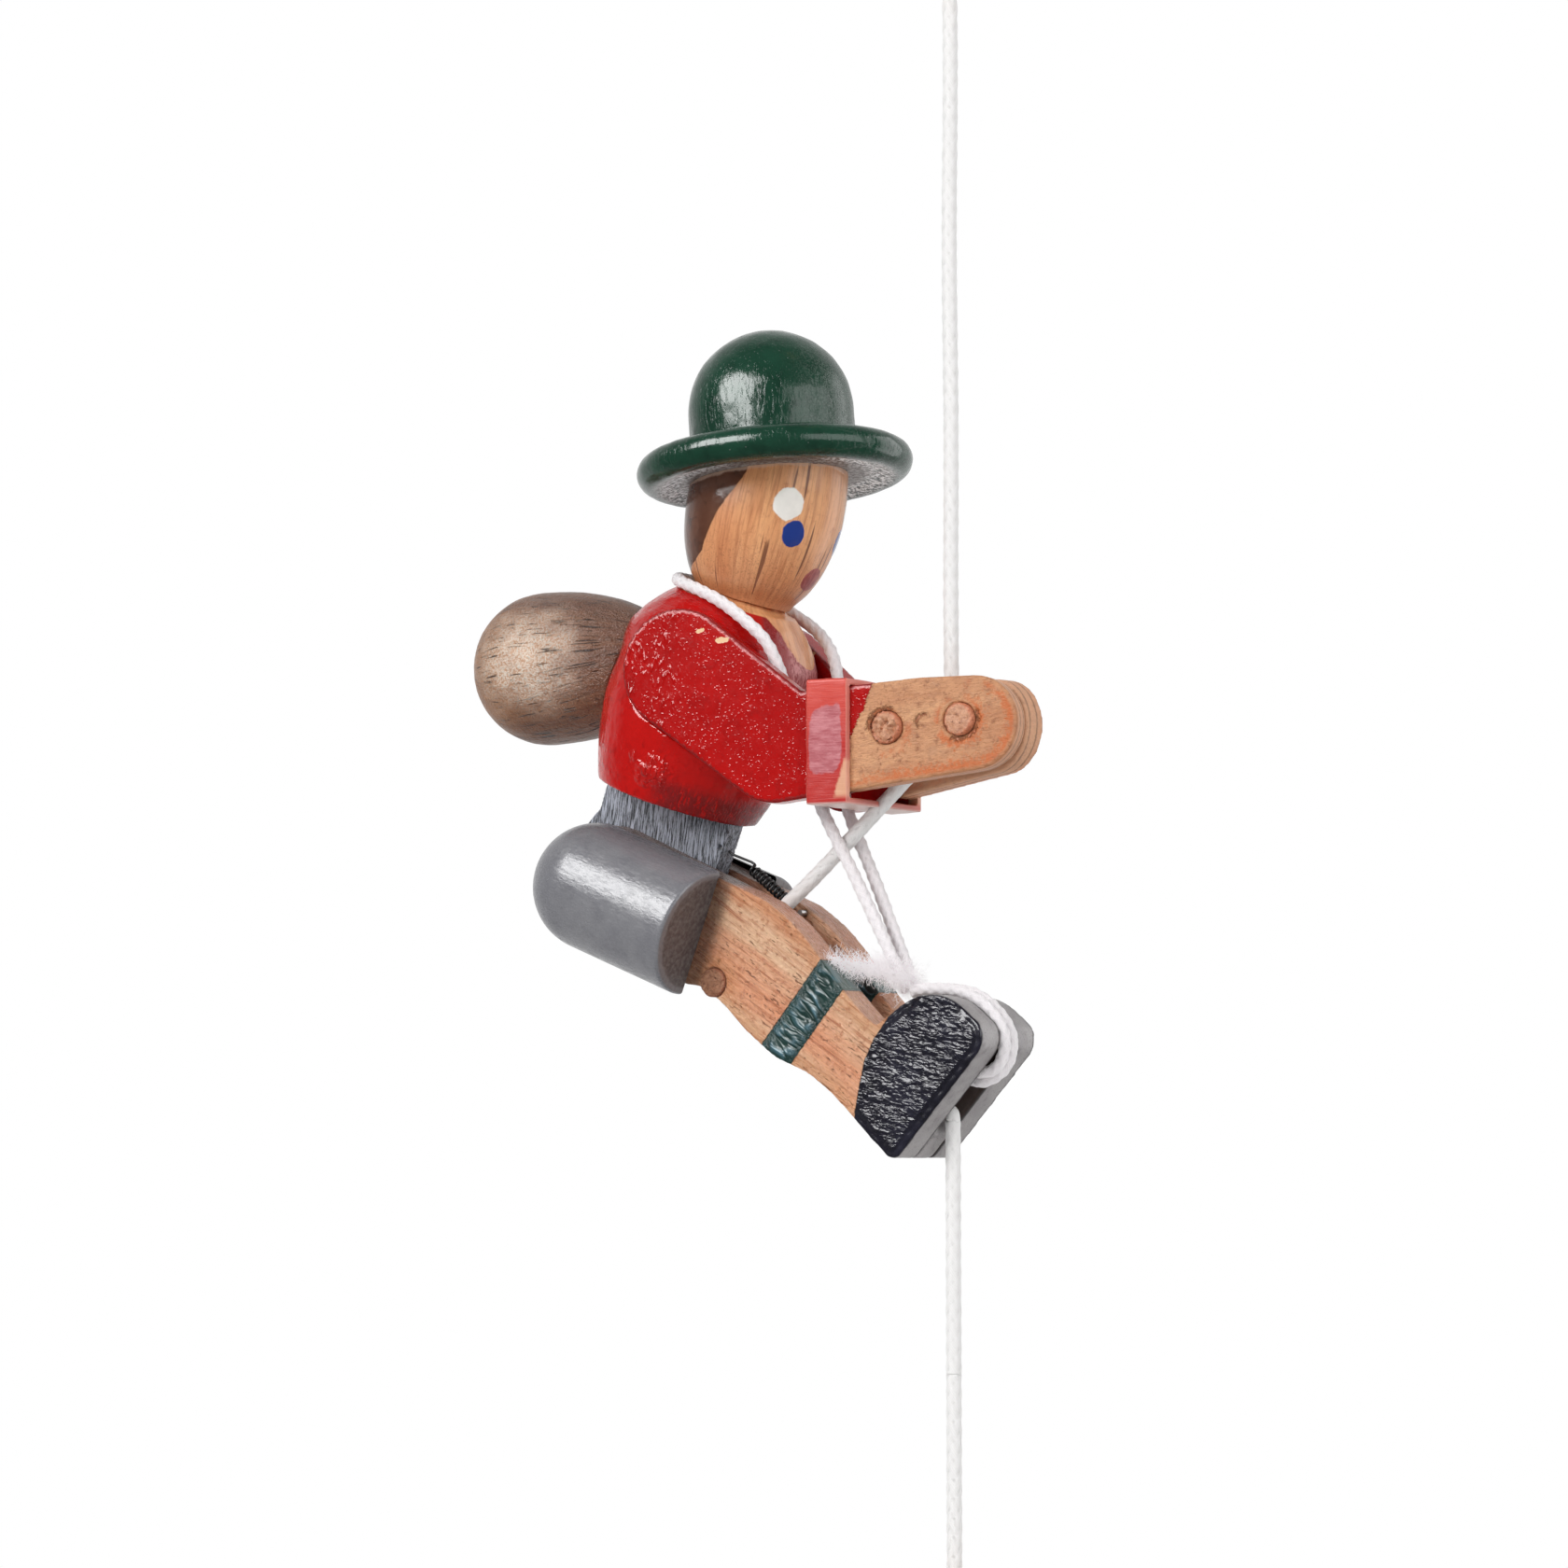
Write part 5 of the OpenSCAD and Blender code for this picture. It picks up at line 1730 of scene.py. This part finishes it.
    def spring(self) -> None:
        """The blackened steel spring in the slot."""
        top, low = Vector((-45.4, 0, -18.4)), Vector((-31, 0, -29.6))
        along = (low - top).normalized()
        across = Vector((-along.z, 0, along.x))
        turns, first, last, coil_r, wire_r, aside = 11, 6.0, 2.6, 0.8, 0.22, 1.1
        pitch = ((low - top).length - first - last) / turns
        coil = []
        for i in range(turns * 14 + 1):
            a = 2 * math.pi * i / 14 + math.pi / 2
            centre = top + along * (first + pitch * i / 14)
            coil.append(centre + across * coil_r * math.sin(a) + Vector((0, aside + coil_r * math.cos(a), 0)))
        hook = top + along * 0.9
        route = [hook, hook + along, coil[0] - along, *coil, coil[-1] + along * 0.7, coil[-1] + along * 1.2]
        line = np.array([tuple(spot(*p)) for p in flowing(route, 2)])
        piece = swept("hip_spring", line, np.full((len(line), 8), wire_r))
        tuple(spot(-43, 0, -20) * MM)
        tuple(spot(-32, 0, -29) * MM)
        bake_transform(piece)
        steel = Metal(srgb(26, 26, 28), 0.36, 0.1).material("black_spring_steel")
        fitted(piece, steel, "spring_steel", None, "leg_spring")


# Inside pieces and studio


def dress_inside() -> None:
    """Materials for the CAD nodes that show as they are."""
    steel = Metal((0.55, 0.55, 0.55), 0.3).material("plain_steel")
    wood = wood_material("inner_dowel_wood", PLAIN_BEECH, FIGURE)
    for node, material in (
        ("hat_dowel", wood), ("neck_dowel", wood), ("backpack_dowel", wood), ("shoulder_dowel", wood),
        ("hip_pin", steel), ("spring_pin", steel), ("tongue_pin", steel),
    ):
        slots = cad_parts[node].data.materials
        slots.clear()
        slots.append(material)


@dataclass
class Studio:
    """Camera, soft lamps, white surroundings and a pale floor."""

    target: tuple = (-32.85, 0.0, -148.3)
    toward: tuple = (0.5714, -0.8160, -0.0872)
    away: float = 692.3
    lens: float = 96.43
    lamp_away: float = 0.95
    floor_r: float = 0.4
    floor_z: float = -0.33

    def camera(self) -> None:
        """The camera at the photograph's place."""
        data = bpy.data.cameras.new("photo_camera")
        data.sensor_width, data.lens = 36.0, self.lens
        data.clip_start, data.clip_end = 0.01, 20.0
        camera = linked("photo_camera", data)
        back = Vector(self.toward).normalized()
        camera.location = (Vector(self.target) + back * self.away) * MM
        camera.rotation_euler = (-back).to_track_quat("-Z", "Y").to_euler()
        bpy.context.scene.camera = camera

    def lamp(self, name: str, direction: tuple, size: tuple, level: float, shown: str = "") -> None:
        """One soft rectangular lamp that points at the figure.

        Args:
            name: its name.
            direction: where it stands, seen from the figure.
            size: its width and height, in m.
            level: its radiance.
            shown: "glossy" or "diffuse" for a lamp that only gives reflections or only light.
        """
        data = bpy.data.lights.new(name, "AREA")
        data.shape, data.size, data.size_y = "RECTANGLE", *size
        data.energy = level * math.pi * size[0] * size[1]
        lamp = linked(name, data)
        out = Vector(direction).normalized()
        lamp.location = Vector(self.target) * MM + out * self.lamp_away
        lamp.rotation_euler = out.to_track_quat("Z", "Y").to_euler()
        lamp.visible_glossy = shown != "diffuse"
        lamp.visible_diffuse = shown != "glossy"

    def world(self) -> None:
        """Surroundings: white where the camera looks, dimmer as a light, and darker in front."""
        world = bpy.data.worlds.new("white_room")
        bpy.context.scene.world = world
        world.use_nodes = True
        graph = Graph(world.node_tree)
        sky = graph.tree.nodes["Background"]
        sky.inputs["Color"].default_value = (1, 1, 1, 1)
        place = graph.node("ShaderNodeTexCoord", {}, {}, "Generated")
        dot = {"operation": "DOT_PRODUCT"}
        facing = graph.node("ShaderNodeVectorMath", dot, {0: place, 1: self.toward}, "Value")
        room = graph.faded(facing, -0.95, -0.2, 0.9, 0.12)
        strength = graph.node("ShaderNodeMix", {}, {0: graph.ray("Is Glossy Ray"), 2: 0.48, 3: room})
        for kind in ("Is Transmission Ray", "Is Camera Ray"):
            strength = graph.node("ShaderNodeMix", {}, {0: graph.ray(kind), 2: strength, 3: 1.0})
        graph.tree.links.new(strength.socket, sky.inputs["Strength"])

    def floor(self) -> None:
        """A pale round floor under the toy that fades to white at its rim."""
        bpy.ops.object.select_all(action="DESELECT")
        low = (0, 0, self.floor_z)
        bpy.ops.mesh.primitive_circle_add(vertices=96, radius=self.floor_r, fill_type="NGON", location=low)
        floor = bpy.context.object
        floor.name = "floor"
        lone(floor)
        bpy.ops.object.transform_apply(location=True)
        shader = Shader("pale_floor")
        shader.bsdf.inputs["Base Color"].default_value = (0.86, 0.86, 0.86, 1)
        shader.bsdf.inputs["Roughness"].default_value = 0.7
        x, y, _ = shader.parts(shader.node("ShaderNodeTexCoord", {}, {}, "Object"))
        seen = shader.ray("Is Camera Ray") * shader.faded(distance(x, y), 0.06, 0.38, 0.35, 1.0)
        paint, white = Value(shader, shader.bsdf.outputs[0]), shader.node("ShaderNodeEmission", {}, {})
        blend = shader.node("ShaderNodeMixShader", {}, {0: seen, 1: paint, 2: white})
        shader.tree.links.new(blend.socket, shader.tree.nodes["Material Output"].inputs["Surface"])
        floor.data.materials.append(shader.material)
        floor.visible_glossy = False

    def build(self) -> None:
        """Sets the whole studio."""
        bpy.context.scene.view_settings.view_transform = "Standard"
        self.camera()
        self.lamp("key_light", (-0.248, -0.864, 0.438), (0.5, 0.5), 6.9, "diffuse")
        self.lamp("key_reflection", (-0.235, -0.83, 0.505), (0.8, 0.52), 14.0, "glossy")
        self.lamp("right_reflection", (0.95, 0.02, 0.28), (1.1, 0.6), 2.4, "glossy")
        self.lamp("back_reflection", (0.52, 0.85, 0.1), (0.5, 1.1), 2.0, "glossy")
        self.lamp("right_light", (0.883, -0.146, 0.447), (0.4, 0.6), 4.4, "diffuse")
        self.world()
        self.floor()


def main() -> None:
    """Builds the toy piece by piece."""
    logging.basicConfig(level=logging.INFO, format="%(name)s: %(message)s")
    Studio().build()
    cords = Cords()
    cords.climbing()
    cords.tie()
    for maker in (Hat(), Head(), Torso(), Backpack(), Arms(), Legs()):
        maker.build()
    dress_inside()


if __name__ == "__main__":
    main()
